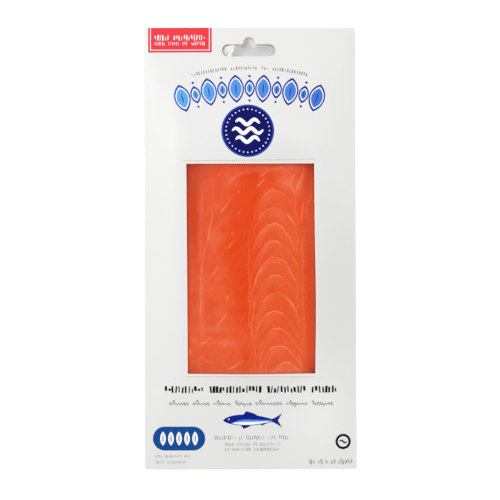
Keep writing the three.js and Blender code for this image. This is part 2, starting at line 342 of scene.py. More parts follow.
def board(name, colour, shade, roughness, fibre_mm, relief_mm, painted_spots=()):
    """Card: a colour that drifts to shade over a few centimetres, with its fibres as shallow relief.

    A spot of painted light, or of painted shade where its last number is below 0, is x, y, half width and
    half height in millimetres, and how much brighter its middle is."""
    material, tree, output = new_material(name)
    place = node(tree, "ShaderNodeTexCoord").outputs["Object"]
    drift = node(tree, "ShaderNodeTexNoise", Vector=place, Scale=1 / (DRIFT_MM * MM), Detail=2.0)
    grain = node(tree, "ShaderNodeTexNoise", Vector=place, Scale=1 / (fibre_mm * MM), Detail=3.0)
    tone = node(tree, "ShaderNodeMix", {"data_type": "RGBA"}, _0=drift.outputs["Fac"],
                _6=linear(colour), _7=linear(shade)).outputs[2]
    for *area, brighter in painted_spots:
        value = node(tree, "ShaderNodeMapRange", {"interpolation_type": "SMOOTHSTEP"},
                     Value=soft_spot(tree, place, *area), To_Min=1.0, To_Max=1.0 + brighter)
        tone = node(tree, "ShaderNodeHueSaturation", Color=tone, Value=value.outputs[0]).outputs[0]
    satin = node(tree, "ShaderNodeMapRange", Value=grain.outputs["Fac"],
                 To_Min=roughness - SATIN_SPREAD, To_Max=roughness + SATIN_SPREAD)
    relief = node(tree, "ShaderNodeBump", Height=grain.outputs["Fac"],
                  Distance=relief_mm * MM, Strength=0.5)
    shader = node(tree, "ShaderNodeBsdfPrincipled", Base_Color=tone, Roughness=satin.outputs[0],
                  IOR=1.5, Normal=relief.outputs[0])
    tree.links.new(shader.outputs[0], output.inputs["Surface"])
    return material


# Painted shade and painted light in the board's colour: darker spots beside the fish on the right and past
# the window's foot and head, lighter ones at the right of the pack's foot.
PAINTED_LIGHT_AND_SHADE_SPOTS = [
    (52, -28, 34, 100, -0.07),  # beside the fish, on the right
    (2, -79, 48, 11, -0.07), (17, 55, 30, 13, -0.055),  # past the window's foot and head
    (37, -102, 27, 34, 0.07), (48, -92, 17, 46, 0.035),  # at the right of the pack's foot
]
coated_board = board("coated bleached board", "#e2e2e0", "#dcdcda",
                     roughness=0.42, fibre_mm=0.9, relief_mm=0.02, painted_spots=PAINTED_LIGHT_AND_SHADE_SPOTS)
bare_board = board("cut and bare board", "#ebe9e2", "#e5e3da",
                   roughness=0.8, fibre_mm=0.5, relief_mm=0.05)
# Painted light: the window's bare border and its cut wall are tinted warm, for light bounced from the fish.
bounce_lit_board = board("bare board with painted warm bounce light", "#efe1d7", "#e9dacf",
                    roughness=0.7, fibre_mm=0.5, relief_mm=0.05)

# %% [markdown]
# ## The sleeve as one closed shell
#
# The sleeve has four skins: the outside and the inside of its front and of its back. All four are the same
# grid, so that their borders match point for point. The stations of the grid are close together at the rim,
# which is rounded, and by the window, whose edge the die has pressed down. Strips of quads join the skins
# round the rim, round the hollow inside, and through the thickness of the card at the window.
#
# The window isn't quite true, because the fish bulges it: its right side and its foot bow outwards by a
# fraction of a millimetre, and its left side leans inwards by as much at the foot. A small shift of the
# grid's points does that, strongest at those edges.

# %% Grid of the sleeve
WINDOW_BORDER = 0.8
GRID_PITCH = 1.6
RIM_STEPS = EDGE * np.array([0, 0.06, 0.2, 0.45, 0.7, 1])
BOW_RIGHT, BOW_FOOT, LEAN_LEFT, BOW_REACH = 0.7, -0.6, 0.55, 12.0
RIGHT_BOW_MIDDLE, RIGHT_BOW_HALF, FOOT_BOW_HALF = -33.0, 38.0, 32.0
INNER_START = 60.0  # past which the inside of the card is as much shorter as it is thick
BEFORE = 1e-9  # less than any step between stations


def stations(low, high, window_low, window_high):
    """Stations from rim to rim, with three on each border of the window."""
    border = WINDOW_BORDER * np.array([1, 0.5, 0])
    return np.concatenate([
        low + RIM_STEPS,
        spaced(low + EDGE, window_low - WINDOW_BORDER, GRID_PITCH)[1:-1],
        window_low - border,
        spaced(window_low, window_high, 1.5 * GRID_PITCH)[1:-1],
        window_high + border[::-1],
        spaced(window_high + WINDOW_BORDER, high - EDGE, GRID_PITCH)[1:-1],
        high - RIM_STEPS[::-1],
    ])


def bowed(x, y):
    """Shifts points near the window's right side and foot outwards, and near its left side inwards."""
    along_right = (y - RIGHT_BOW_MIDDLE) / RIGHT_BOW_HALF
    beside = np.exp(-(((x - WINDOW_RIGHT) / BOW_REACH) ** 2) - along_right**2)
    below = np.exp(-(((y - WINDOW_FOOT) / BOW_REACH) ** 2) - (x / FOOT_BOW_HALF) ** 2)
    leaning = np.exp(-(((x - WINDOW_LEFT) / BOW_REACH) ** 2)) * smooth((75 - y) / 150)
    leaning *= smooth((HALF_LENGTH - np.abs(y)) / 30)
    return x + BOW_RIGHT * beside + LEAN_LEFT * leaning, y + BOW_FOOT * below


columns = stations(-HALF_WIDTH, HALF_WIDTH, WINDOW_LEFT, WINDOW_RIGHT)
rows = stations(-HALF_LENGTH, HALF_LENGTH, WINDOW_FOOT, WINDOW_HEAD)
grid_x, grid_y = np.meshgrid(columns, rows)
to_side = smooth((np.abs(grid_x) - FLAT_HALF_WIDTH) / (HALF_WIDTH - FLAT_HALF_WIDTH))
outer_x = grid_x + np.sign(grid_x) * (half_width(grid_y) - HALF_WIDTH) * to_side
outer_x, outer_y = bowed(outer_x, grid_y)
print("the sleeve's grid is", len(rows), "by", len(columns))

# %% Skins of the sleeve
to_end = smooth((np.abs(grid_y) - INNER_START) / (HALF_LENGTH - INNER_START))
inner_x = outer_x - np.sign(outer_x) * CARD * to_side
inner_y = outer_y - np.sign(outer_y) * CARD * to_end
inner_half = half_thickness(inner_x, inner_y) - CARD
lip = front(outer_x, outer_y) - MID - half_thickness(outer_x, outer_y) * rim_round(outer_x, outer_y)
skins = [
    (outer_x, outer_y, front(outer_x, outer_y)),
    (inner_x, inner_y, MID + inner_half + lip),
    (inner_x, inner_y, MID - inner_half),
    (outer_x, outer_y, back(outer_x, outer_y)),
]
skin_points = np.stack([np.stack(skin, axis=-1).reshape(-1, 3) for skin in skins])
per_skin = skin_points.shape[1]
window_columns = np.searchsorted(columns, [WINDOW_LEFT - BEFORE, WINDOW_RIGHT - BEFORE])
window_rows = np.searchsorted(rows, [WINDOW_FOOT - BEFORE, WINDOW_HEAD - BEFORE])
rim = border_ring(grid_x.shape)
opening = border_ring(grid_x.shape, *window_rows, *window_columns)
quad_row, quad_column = np.divmod(np.arange((len(rows) - 1) * (len(columns) - 1)), len(columns) - 1)


def within(margin):
    """Which quads of a skin lie in the window, or at most margin stations outside it."""
    in_rows = (quad_row >= window_rows[0] - margin) & (quad_row < window_rows[1] + margin)
    in_columns = (quad_column >= window_columns[0] - margin) & (quad_column < window_columns[1] + margin)
    return in_rows & in_columns

# %% Join the skins
SEAM_GROOVE = 0.3  # between the two panels at the head and the foot, where their cut edges meet
groove = skin_points[0, rim].copy()
groove[:, 2] = MID
at_end = np.abs(groove[:, 1]) > HALF_LENGTH - 0.01
groove[at_end, 1] -= SEAM_GROOVE * np.sign(groove[at_end, 1])
groove_ring = 4 * per_skin + np.arange(len(rim))

skin_quads = grid_faces(len(rows), len(columns))
shown = ~within(0)
PRINTED, BARE, BOUNCE_LIT = 0, 1, 2
rim_kind = np.where(at_end, BARE, PRINTED)
sleeve_parts = [
    (skin_quads[shown], np.where(within(2), BOUNCE_LIT, PRINTED)[shown]),
    (skin_quads[shown] + per_skin, BARE),
    (skin_quads + 2 * per_skin, BARE),
    (skin_quads + 3 * per_skin, PRINTED),
    (strip(rim, groove_ring), rim_kind),
    (strip(groove_ring, rim + 3 * per_skin), rim_kind),
    (strip(rim + per_skin, rim + 2 * per_skin), BARE),
    (strip(opening, opening + per_skin), BOUNCE_LIT),
]
sleeve = build(
    "printed_sleeve",
    np.concatenate([skin_points.reshape(-1, 3), groove]),
    np.concatenate([quads for quads, kind in sleeve_parts]),
    [coated_board, bare_board, bounce_lit_board],
    np.concatenate([np.broadcast_to(kind, len(quads)) for quads, kind in sleeve_parts]),
)

# %% [markdown]
# ## The hang slot
#
# The slot is punched before the panels are folded together, so its walls are bare board, and the two holes
# don't quite meet. The hole in the back panel sits a little to the left and slightly turned, so a strip of
# that panel shows inside the hole in the front one. A Boolean modifier with a solid of the slot's outline
# cuts each hole.

# %% Punch the slot
PANEL_CREEP = np.array([-2.2, -1.0])
PANEL_TURN = np.radians(-2.2)
PUNCH_TRAVEL = 8.0


def arc(centre, radius, start_degrees, end_degrees, count=14):
    """Points on an arc: the centre plus radius times cosine and sine of an even run of angles."""
    angle = np.radians(np.linspace(start_degrees, end_degrees, count))
    return np.stack([centre[0] + radius * np.cos(angle), centre[1] + radius * np.sin(angle)], axis=-1)


def slot_outline(shift, turn):
    """The slot's outline: two round ends, joined by straight sides, and a round notch in the upper side."""
    radius = SLOT_HEIGHT / 2
    reach = SLOT_LENGTH / 2 - radius
    middle = SLOT_FOOT + radius
    outline = np.concatenate([
        arc((SLOT_CENTRE - reach, middle), radius, 90, 270),
        arc((SLOT_CENTRE + reach, middle), radius, -90, 90),
        [(SLOT_CENTRE + NOTCH_RADIUS, SLOT_FOOT + SLOT_HEIGHT)],
        arc((SLOT_CENTRE, NOTCH_HEAD - NOTCH_RADIUS), NOTCH_RADIUS, 0, 180),
        [(SLOT_CENTRE - NOTCH_RADIUS, SLOT_FOOT + SLOT_HEIGHT)],
    ])
    centre = np.array([SLOT_CENTRE, middle])
    turned = np.array([[np.cos(turn), -np.sin(turn)], [np.sin(turn), np.cos(turn)]])
    return centre + (outline - centre) @ turned.T + shift


def punch(target, shift, turn, low, high):
    """Cuts the slot's outline, shifted and turned, through the target between two heights."""
    outline = slot_outline(shift, turn)
    count = len(outline)
    points = np.concatenate([np.column_stack([outline, np.full(count, z)]) for z in (low, high)])
    mesh = bpy.data.meshes.new("punch")
    low_ring = np.arange(count)
    walls = strip(low_ring, low_ring + count)
    mesh.from_pydata((points * MM).tolist(), [],
                     [low_ring[::-1].tolist(), (low_ring + count).tolist(), *walls.tolist()])
    mesh.materials.append(bare_board)
    cutter = bpy.data.objects.new("punch", mesh)
    scene.collection.objects.link(cutter)
    cut = target.modifiers.new("slot", "BOOLEAN")
    cut.object = cutter
    cut.solver = "EXACT"
    cut.material_mode = "TRANSFER"
    bpy.context.view_layer.objects.active = target
    bpy.ops.object.modifier_apply(modifier=cut.name)
    bpy.data.objects.remove(cutter)


punch(sleeve, np.array([0.0, 0.0]), 0.0, MID, MID + PUNCH_TRAVEL)
punch(sleeve, PANEL_CREEP, PANEL_TURN, MID - PUNCH_TRAVEL, MID)
print("the sleeve has", len(sleeve.data.polygons), "faces after punching")

# %% [markdown]
# ## Printing
#
# The print is offset lithography: thin films of ink, which dry to a satin close to the card's own. Here
# each printed shape is a closed film, a few hundredths of a millimetre high, that follows the card. A
# picture laid over the card could do the same, but shapes stay sharp at any distance, and each ink has its
# own material.
#
# A shape is again a grid of places on the flat card: bars, discs, rings, leaves and ribbons all are. The
# words of a real pack are only hinted at, by rows of small strokes, as a designer does with text that isn't
# written yet.

# %% Ink
INK_LIFT, INK_LAYER, INK_SINK = 0.045, 0.012, 0.1
INK_FADE, INK_PATCH_MM, INK_GLOSS = 45.0, 1.2, 0.12


def ink(name, colour, far_colour=None):
    """Offset ink: slightly patchy, as ink on clay is, and drifting to far_colour towards the right."""
    material, tree, output = new_material(name)
    place = node(tree, "ShaderNodeTexCoord").outputs["Object"]
    across = node(tree, "ShaderNodeSeparateXYZ", Vector=place).outputs["X"]
    share = node(tree, "ShaderNodeMapRange", Value=across, From_Min=-INK_FADE * MM, From_Max=INK_FADE * MM)
    tone = node(tree, "ShaderNodeMix", {"data_type": "RGBA"}, _0=share.outputs[0],
                _6=linear(colour), _7=linear(far_colour or colour))
    patches = node(tree, "ShaderNodeTexNoise", Vector=place, Scale=1 / (INK_PATCH_MM * MM), Detail=3.0)
    uneven = node(tree, "ShaderNodeMapRange", Value=patches.outputs["Fac"], To_Min=0.92, To_Max=1.06)
    patchy = node(tree, "ShaderNodeHueSaturation", Color=tone.outputs[2], Value=uneven.outputs[0])
    shader = node(tree, "ShaderNodeBsdfPrincipled", Base_Color=patchy.outputs[0], Roughness=0.4, IOR=1.5,
                  Specular_IOR_Level=INK_GLOSS)
    tree.links.new(shader.outputs[0], output.inputs["Surface"])
    return material


red_ink = ink("warm red offset ink", "#e53a46")
dark_red_ink = ink("deep red offset ink", "#c04454")
blue_ink = ink("blue offset ink", "#2446b4", "#1a2a94")
navy_ink = ink("navy offset ink", "#030b60")
sky_ink = ink("light blue offset ink", "#5fa4e2", "#3c70cc")
fish_ink = ink("deep blue offset ink", "#0a1c8a")
black_ink = ink("black offset ink", "#0c0c12")
grey_ink = ink("grey offset ink", "#8a8a92")
dark_grey_ink = ink("dark grey offset ink", "#66666e")
sea_ink = ink("sea blue offset ink", "#0c4890")
white_ink = ink("opaque white ink", "#f4f4f5")

# %% Shapes that can be printed
def printed(name, *layers):
    """One printed piece. A layer is an array of places (items, rows, columns, 2), an ink, its level, and
    whether each item closes on itself. Every item becomes a closed film: the grid, a copy of it sunk into
    the card, and walls."""
    points, faces, kinds, inks = [], [], [], []
    total = 0
    for places, colour, level, closes in layers:
        items, high, wide, _ = places.shape
        size = high * wide
        surface = front(places[..., 0], places[..., 1])
        lifted = np.concatenate([places, (surface + INK_LIFT + level * INK_LAYER)[..., None]], axis=-1)
        sunk = np.concatenate([places, (surface - INK_SINK)[..., None]], axis=-1)
        points.append(np.stack([lifted, sunk], axis=1).reshape(-1, 3))
        if closes:
            rings = [np.arange(wide), size - wide + np.arange(wide)]
        else:
            rings = [border_ring((high, wide))]
        top = grid_faces(high, wide, wrap=closes)
        one = np.concatenate([top, top + size, *(strip(ring, ring + size) for ring in rings)])
        offsets = total + 2 * size * np.arange(items)
        faces.append((one[None] + offsets[:, None, None]).reshape(-1, 4))
        if colour not in inks:
            inks.append(colour)
        kinds.append(np.full(len(faces[-1]), inks.index(colour)))
        total += 2 * size * items
    return build(name, np.concatenate(points), np.concatenate(faces), inks, np.concatenate(kinds))


def bars(left, right, foot, head, pitch=1.5):
    """Upright bars as narrow grids. Their left, right, foot and head are arrays of as many numbers."""
    across = int(np.ceil(np.max(right - left) / pitch)) + 1
    up = int(np.ceil(np.max(head - foot) / pitch)) + 1
    u = np.linspace(0, 1, across)[None, None, :]
    v = np.linspace(0, 1, up)[None, :, None]
    x = left[:, None, None] + u * (right - left)[:, None, None] + 0 * v
    y = foot[:, None, None] + v * (head - foot)[:, None, None] + 0 * u
    return np.stack([x, y], axis=-1)


def disc(centre, radius, count=13):
    """A round field: a square grid u, v bent to a circle.

    x is u times sqrt(1 - v v / 2), and y is v times sqrt(1 - u u / 2)."""
    u, v = np.meshgrid(np.linspace(-1, 1, count), np.linspace(-1, 1, count))
    x = centre[0] + radius * u * np.sqrt(1 - v**2 / 2)
    y = centre[1] + radius * v * np.sqrt(1 - u**2 / 2)
    return np.stack([x, y], axis=-1)[None]


def ring(centre, inner, outer, count=72):
    """A band between two circles. It closes on itself."""
    angle = 2 * np.pi * np.arange(count) / count
    radius = np.array([inner, outer])[:, None]
    return np.stack([centre[0] + radius * np.cos(angle), centre[1] + radius * np.sin(angle)], axis=-1)[None]


def ribbon(path, width):
    """A line of ink along a path, half the width to each side of it along the path's normal."""
    along = np.gradient(path, axis=0)
    along /= np.linalg.norm(along, axis=1, keepdims=True)
    normal = np.stack([-along[:, 1], along[:, 0]], axis=-1)
    half = np.broadcast_to(width, len(path))[:, None] / 2
    return np.stack([path - normal * half, path + normal * half])[None]


def lens_field(lower, upper, start, end, count=25, across=4):
    """A field between two curves of x, from start to end."""
    x = np.linspace(start, end, count)
    share = np.linspace(0, 1, across)[:, None]
    y = lower(x) * (1 - share) + upper(x) * share
    return np.stack([np.broadcast_to(x, y.shape), y], axis=-1)[None]


def leaf(half_length, half_width_of_leaf, count=15):
    """An upright leaf about the origin: its width falls from the middle to both points as 1 - s squared."""
    s = np.linspace(-1, 1, count)[:, None]
    across = np.linspace(-1, 1, 5)[None, :]
    x = half_width_of_leaf * np.maximum(1 - s**2, 0.01) ** 0.8 * across
    return np.stack([x, half_length * s + 0 * x], axis=-1)[None]


def moved(places, by):
    """The same places, shifted."""
    return places + np.asarray(by)


def on_arch(places, radius, crown):
    """Bends a flat design round an arch: x becomes a length along it, and y a height above it."""
    angle = places[..., 0] / radius
    reach = radius + places[..., 1]
    return np.stack([reach * np.sin(angle), crown - radius + reach * np.cos(angle)], axis=-1)


def strokes(start, end, foot, head, words, seed, pitch, boldness):
    """A row of strokes that stands for text: groups of bars, uneven in width, height and lean, and gaps."""
    draw = np.random.default_rng(seed)
    length = end - start
    shares = np.array(words, float)
    gap = 1.6 * pitch
    group_ends = np.cumsum(shares) / shares.sum() * (length - gap * (len(words) - 1))
    middles = np.arange(pitch / 2, group_ends[-1] - pitch / 4, pitch)
    count = len(middles)
    group = np.searchsorted(group_ends, middles)
    widths = pitch * boldness * draw.uniform(0.55, 1.45, count)
    left = start + middles + group * gap - widths / 2 + pitch * draw.uniform(-0.1, 0.1, count)
    raised = draw.choice([0, 0, 0, 0.12, 0.3], count) * (head - foot)
    lowered = draw.choice([0, 0, 0, 0.15, 0.35], count) * (head - foot)
    rows = bars(left, left + widths, foot + raised, head - lowered)
    lean = draw.uniform(-0.14, 0.14, count)[:, None, None]
    rows[..., 0] += lean * (rows[..., 1] - (foot + head) / 2)
    return rows

# %% [markdown]
# ## What is printed
#
# The head has a red tag that runs over the top edge, then a thin arched row of small print, an arched
# frieze of tall and short leaves in turn, and a navy roundel with beads and waves. Dotted rules lie above
# and below the window. The foot has a bold row, a thin running trace, a small blue fish, three rows of
# small print, a blue capsule with leaves and a ring mark with a wave. All of these are plain shapes of this
# pack's own.

# %% Print on the head
TAG_LEFT, TAG_RIGHT, TAG_FOOT = -60.85, -22.65, 117.3
TAG_LINE, TAG_LINE_INSET = 0.45, 1.2
HAIR = 0.01  # keeps films of one piece apart where they would share an edge
FRIEZE_RADIUS, FRIEZE_CROWN = 138.5, 95.4
TALL_LEAVES, TALL_LEAF_PITCH, DOT_HEIGHT = 6, 16.3, 7.4
ROUNDEL, ROUNDEL_RADIUS, ROUNDEL_FIELD = (-1.2, 69.8), 15.75, 14.7


def over_the_rim(left, right, foot):
    """An upright bar up to the head's edge, with rows at the rim's stations, so that it rounds alike."""
    y = np.concatenate([spaced(foot, HALF_LENGTH - EDGE, 0.8), (HALF_LENGTH - RIM_STEPS)[-2::-1]])
    x, y = np.meshgrid(spaced(left, right, 1.5), np.minimum(y, HALF_LENGTH - 0.02))
    return np.stack([x, y], axis=-1)[None]


def tag_frame(inset, colour):
    """Three lines of the tag's frame, inset from its edges. The lowest stops a hair short of the others."""
    left, right, foot = TAG_LEFT + inset, TAG_RIGHT - inset, TAG_FOOT + inset
    low = bars(np.array([left + TAG_LINE + HAIR]), np.array([right - TAG_LINE - HAIR]),
               np.array([foot]), np.array([foot + TAG_LINE]))
    at_left = over_the_rim(left, left + TAG_LINE, foot)
    at_right = over_the_rim(right - TAG_LINE, right, foot)
    return [(line, colour, 1, False) for line in (at_left, at_right, low)]


head_print = [printed(
    "corner_tag",
    (over_the_rim(TAG_LEFT, TAG_RIGHT, TAG_FOOT), red_ink, 0, False),
    *tag_frame(2 * HAIR, dark_red_ink),
    *tag_frame(TAG_LINE_INSET, white_ink),
    (strokes(-57.3, -25.9, 124.6, 127.9, [4, 9], 1, 1.5, 0.4), white_ink, 1, False),
    (strokes(-57.2, -26.6, 121.6, 123.8, [5, 5, 3, 7], 2, 1.1, 0.33), white_ink, 1, False),
)]

tall_middles = (np.arange(TALL_LEAVES) - (TALL_LEAVES - 1) / 2) * TALL_LEAF_PITCH
short_middles = (tall_middles[1:] + tall_middles[:-1]) / 2


def frieze(shape, middles, height=0.0):
    """A shape repeated along the arch, at these lengths along it and this height above its middle."""
    flat = np.concatenate([moved(shape, (x, height)) for x in middles])
    return on_arch(flat, FRIEZE_RADIUS, FRIEZE_CROWN)


def leaf_layers(middles, half_length, half_wide):
    """Leaves as four films, each inside the one below it: blue, a white border, light blue, and a rib."""
    return [
        (frieze(leaf(half_length, half_wide), middles), blue_ink, 0, False),
        (frieze(leaf(half_length - 1.5, half_wide - 0.85), middles), white_ink, 1, False),
        (frieze(leaf(half_length - 2.5, half_wide - 1.4), middles), sky_ink, 2, False),
        (frieze(leaf(0.4 * half_length, 0.34), middles), blue_ink, 3, False),
    ]


head_print.append(printed(
    "leaf_frieze",
    *leaf_layers(tall_middles, 8.5, 4.8),
    *leaf_layers(short_middles, 5.4, 3.1),
    (frieze(leaf(0.8, 0.7), short_middles, DOT_HEIGHT), blue_ink, 0, False),
    (frieze(leaf(0.8, 0.7), short_middles, -DOT_HEIGHT), blue_ink, 0, False),
))
head_print.append(printed(
    "arched_small_print",
    (on_arch(strokes(-35.5, 35.5, -1.05, 1.05, [9, 7, 2, 9], 3, 1.45, 0.33), 136.0, 107.9),
     dark_grey_ink, 0, False),
))


def wave(start, end, middle, width, length=9.0, height=1.5):
    """A ribbon that rises and falls like a swell, and thins towards both ends."""
    x = np.linspace(start, end, 49)
    path = np.stack([x, middle + height * np.sin(2 * np.pi * (x - start) / length)], axis=-1)
    share = np.linspace(-1, 1, 49)
    return ribbon(path, width * np.sqrt(1 - 0.93 * share**4))


BEADS, BEAD_RADIUS, BEADS_RADIUS = 32, 0.42, 13.0
bead_angles = 2 * np.pi * np.arange(BEADS) / BEADS
beads = BEADS_RADIUS * np.stack([np.cos(bead_angles), np.sin(bead_angles)], axis=-1) + ROUNDEL
head_print.append(printed(
    "roundel",
    (disc(ROUNDEL, ROUNDEL_RADIUS, 25), blue_ink, 0, False),
    (disc(ROUNDEL, ROUNDEL_FIELD, 25), navy_ink, 1, False),
    (np.concatenate([disc(middle, BEAD_RADIUS, 5) for middle in beads]), white_ink, 2, False),
    *((wave(ROUNDEL[0] - reach, ROUNDEL[0] + reach, ROUNDEL[1] + rise, 2.3), white_ink, 2, False)
      for reach, rise in ((7.2, 5.3), (9.3, 0.0), (7.2, -5.3))),
))

# %% Rules above and below the window
RULE_PITCH, RULE_DOT = 1.2, 0.26


def dotted_rule(start, end):
    """A straight row of small round dots between two points."""
    count = int(np.hypot(*np.subtract(end, start)) / RULE_PITCH)
    middles = np.linspace(start, end, count)
    return np.concatenate([disc(middle, RULE_DOT, 3) for middle in middles])


rules = printed(
    "dotted_rules",
    (dotted_rule((-38.6, 51.8), (38.4, 52.5)), grey_ink, 0, False),
    (dotted_rule((-37.6, -76.6), (37.8, -76.9)), grey_ink, 0, False),
)

# %% Print on the foot
FISH_MIDDLE = np.array([0.6, -103.0])
CAPSULE_LEFT, CAPSULE_RIGHT, CAPSULE_FOOT, CAPSULE_HEAD = -58.4, -27.1, -121.0, -106.6
RING_MARK, RING_MARK_RADIUS = (55.2, -115.9), 4.6
TRACE_GAP, TRACE_LOOP, TRACE_LEAN = 2.2, 1.7, 0.45


def running_line(start, end, middle, seed):
    """A thin leaning trace: groups of uneven waves along a row, some with a tall or a deep one.

    Along t, x advances evenly and y swings by a sine, and then the whole leans to the right by y."""
    draw = np.random.default_rng(seed)
    groups = []
    words = draw.uniform(0.7, 1.4, 7)
    ends = start + np.cumsum(words) / words.sum() * (end - start)
    for left, right in zip(np.concatenate([[start], ends[:-1]]), ends - TRACE_GAP):
        t = np.linspace(0, 1, int((right - left) * 7))
        loops = np.round((right - left) / TRACE_LOOP)
        tall = 1.5 * np.exp(-((t * loops - draw.integers(0, 2) - 0.25) / 0.35) ** 2)
        deep = 1.1 * np.exp(-((t * loops - draw.integers(3, 6) - 0.75) / 0.35) ** 2) * (draw.random() < 0.6)
        x = left + (right - left) * t
        y = (0.68 + 0.3 * np.sin(9 * t + draw.uniform(0, 6))) * np.sin(2 * np.pi * loops * t) + tall - deep
        width = 0.3 + 0.1 * np.sin(2 * np.pi * loops * t)
        groups.append(ribbon(np.stack([x + TRACE_LEAN * y, middle + y], axis=-1), width))
    return groups


def capsule(inset, count=21):
    """A field with half-round ends: rows as long as the ends allow at their height."""
    radius = (CAPSULE_HEAD - CAPSULE_FOOT) / 2 - inset
    height = np.sin(np.linspace(-np.pi / 2, np.pi / 2, count))[:, None] * radius
    reach = np.sqrt(np.maximum(radius**2 - height**2, 0.0004))
    left = CAPSULE_LEFT + inset + radius - reach
    right = CAPSULE_RIGHT - inset - radius + reach
    share = np.linspace(0, 1, count)[None, :]
    x = left * (1 - share) + right * share
    y = (CAPSULE_HEAD + CAPSULE_FOOT) / 2 + height + 0 * x
    return np.stack([x, y], axis=-1)[None]


def capsule_row(shape, count=5, pitch=4.8):
    """A shape repeated along the middle line of the capsule."""
    middle = np.array([CAPSULE_LEFT + CAPSULE_RIGHT, CAPSULE_FOOT + CAPSULE_HEAD]) / 2
    shifts = pitch * (np.arange(count) - (count - 1) / 2)
    return np.concatenate([moved(shape, middle + (shift, 0)) for shift in shifts])


trace = running_line(-48.6, 51.4, -93.1, 6)
foot_print = [
    printed(
        "bold_row",
        (strokes(-51.2, 52.4, -86.4, -82.4, [6, 8, 6, 4], 5, 1.95, 0.58), black_ink, 0, False),
    ),
    printed("running_line", *((group, dark_grey_ink, 0, False) for group in trace)),
    printed(
        "small_print",
        (strokes(-21.7, 23.0, -114.6, -112.1, [6, 1, 5, 2, 3], 7, 1.15, 0.3), grey_ink, 0, False),
        (strokes(-15.7, 17.9, -118.4, -116.5, [4, 6, 2, 7, 1], 8, 0.85, 0.3), grey_ink, 0, False),
        (strokes(-15.4, 17.6, -121.4, -119.5, [2, 10, 13], 9, 0.85, 0.3), grey_ink, 0, False),
        (strokes(-57.0, -36.0, -125.4, -123.6, [3, 8, 3], 10, 0.8, 0.25), grey_ink, 0, False),
        (strokes(-57.0, -38.5, -129.0, -127.2, [4, 9], 11, 0.8, 0.25), grey_ink, 0, False),
        (strokes(34.7, 60.5, -129.6, -126.4, [3, 2, 1, 2, 6], 12, 0.95, 0.5), grey_ink, 0, False),
    ),
    printed(
        "capsule",
        (capsule(0.0), sea_ink, 0, False),
        (capsule_row(leaf(4.2, 1.7)), white_ink, 1, False),
        (capsule_row(leaf(2.6, 0.3)), sea_ink, 2, False),
    ),
    printed(
        "ring_mark",
        (ring(RING_MARK, RING_MARK_RADIUS - 1.4, RING_MARK_RADIUS, 48), black_ink, 0, True),
        (wave(RING_MARK[0] - 2.2, RING_MARK[0] + 2.2, RING_MARK[1], 0.9, 4.4, 0.7), black_ink, 0, False),
    ),
]

# %% [markdown]
# The fish is a plain one, swimming to the left: a body between two curves, light blue along its flank and
# white below it, with a forked tail, a fin on its back and two under its belly. Each part is a field
# between two functions of x.

# %% Printed fish
BODY_START, BODY_END = -17.0, 13.0


def fish_profile(depth, sharpness):
    """A curve that leaves the nose steeply, is deepest a third of the way back, and thins to the tail."""
    def curve(x):
        share = np.clip((x - BODY_START) / (BODY_END - BODY_START), 0.0005, 0.9995)
        return depth * 2.6 * share**sharpness * (1 - share) ** 0.95 + 0.5 * np.sign(depth) * share
    return curve


back_line, belly_line = fish_profile(3.7, 0.62), fish_profile(-3.4, 0.7)


def flank_line(reach):
    """Where a colour of the flank begins: that share of the way down the body, and lower at the head."""
    def curve(x):
        share = (x - BODY_START) / (BODY_END - BODY_START)
        low = reach + (0.9 - reach) * np.exp(-(((share - 0.1) / 0.16) ** 2))
        return back_line(x) * (1 - low) + belly_line(x) * low
    return curve


def flank(off_belly, reach, past_nose, before_tail):
    """A field of the flank, from a little above the belly up to its flank line."""
    return lens_field(lambda x: belly_line(x) + off_belly, flank_line(reach),
                      BODY_START + past_nose, BODY_END - before_tail)


def fin(start, end, root, height, sweep):
    """A fin on the body between two places: its tip is height from the root and leans back by sweep."""
    share = np.linspace(0, 1, 9)[None, :]
    rise = np.linspace(0, 1, 5)[:, None]
    x = start + (end - start) * share + sweep * rise
    y = root + height * rise * (1 - share) ** 0.6 + 0 * x
    return np.stack([x, y], axis=-1)[None]


def tail_fan(reach, spread, notch):
    """The forked tail: rows from its root to its hind edge, which is nearest in the middle by the notch."""
    share = np.linspace(0, 1, 7)[None, :]
    side = np.linspace(-1, 1, 13)[:, None]
    x = BODY_END - 1.4 + share * (reach - notch * (1 - np.abs(side)))
    y = side * (0.7 + (spread - 0.7) * share**1.3)
    return np.stack([x, y], axis=-1)[None]


fish_parts = [
    (lens_field(belly_line, back_line, BODY_START, BODY_END), fish_ink, 0),
    (flank(0.3, 0.45, 5.0, 0.8), sky_ink, 1),
    (flank(0.45, 0.66, 6.0, 2.4), white_ink, 2),
    (fin(-5.2, 1.6, 2.9, 2.7, 1.8), fish_ink, 0),
    (fin(-6.6, -2.2, -2.7, -2.3, 1.8), fish_ink, 0),
    (fin(4.6, 8.0, -1.2, -1.9, 1.3), fish_ink, 0),
    (tail_fan(6.6, 4.4, 2.6), fish_ink, 0),
    (disc((-13.6, 0.75), 0.45, 5), white_ink, 3),
]
foot_print.append(printed(
    "printed_fish",
    *((moved(places, FISH_MIDDLE), colour, level, False) for places, colour, level in fish_parts),
))
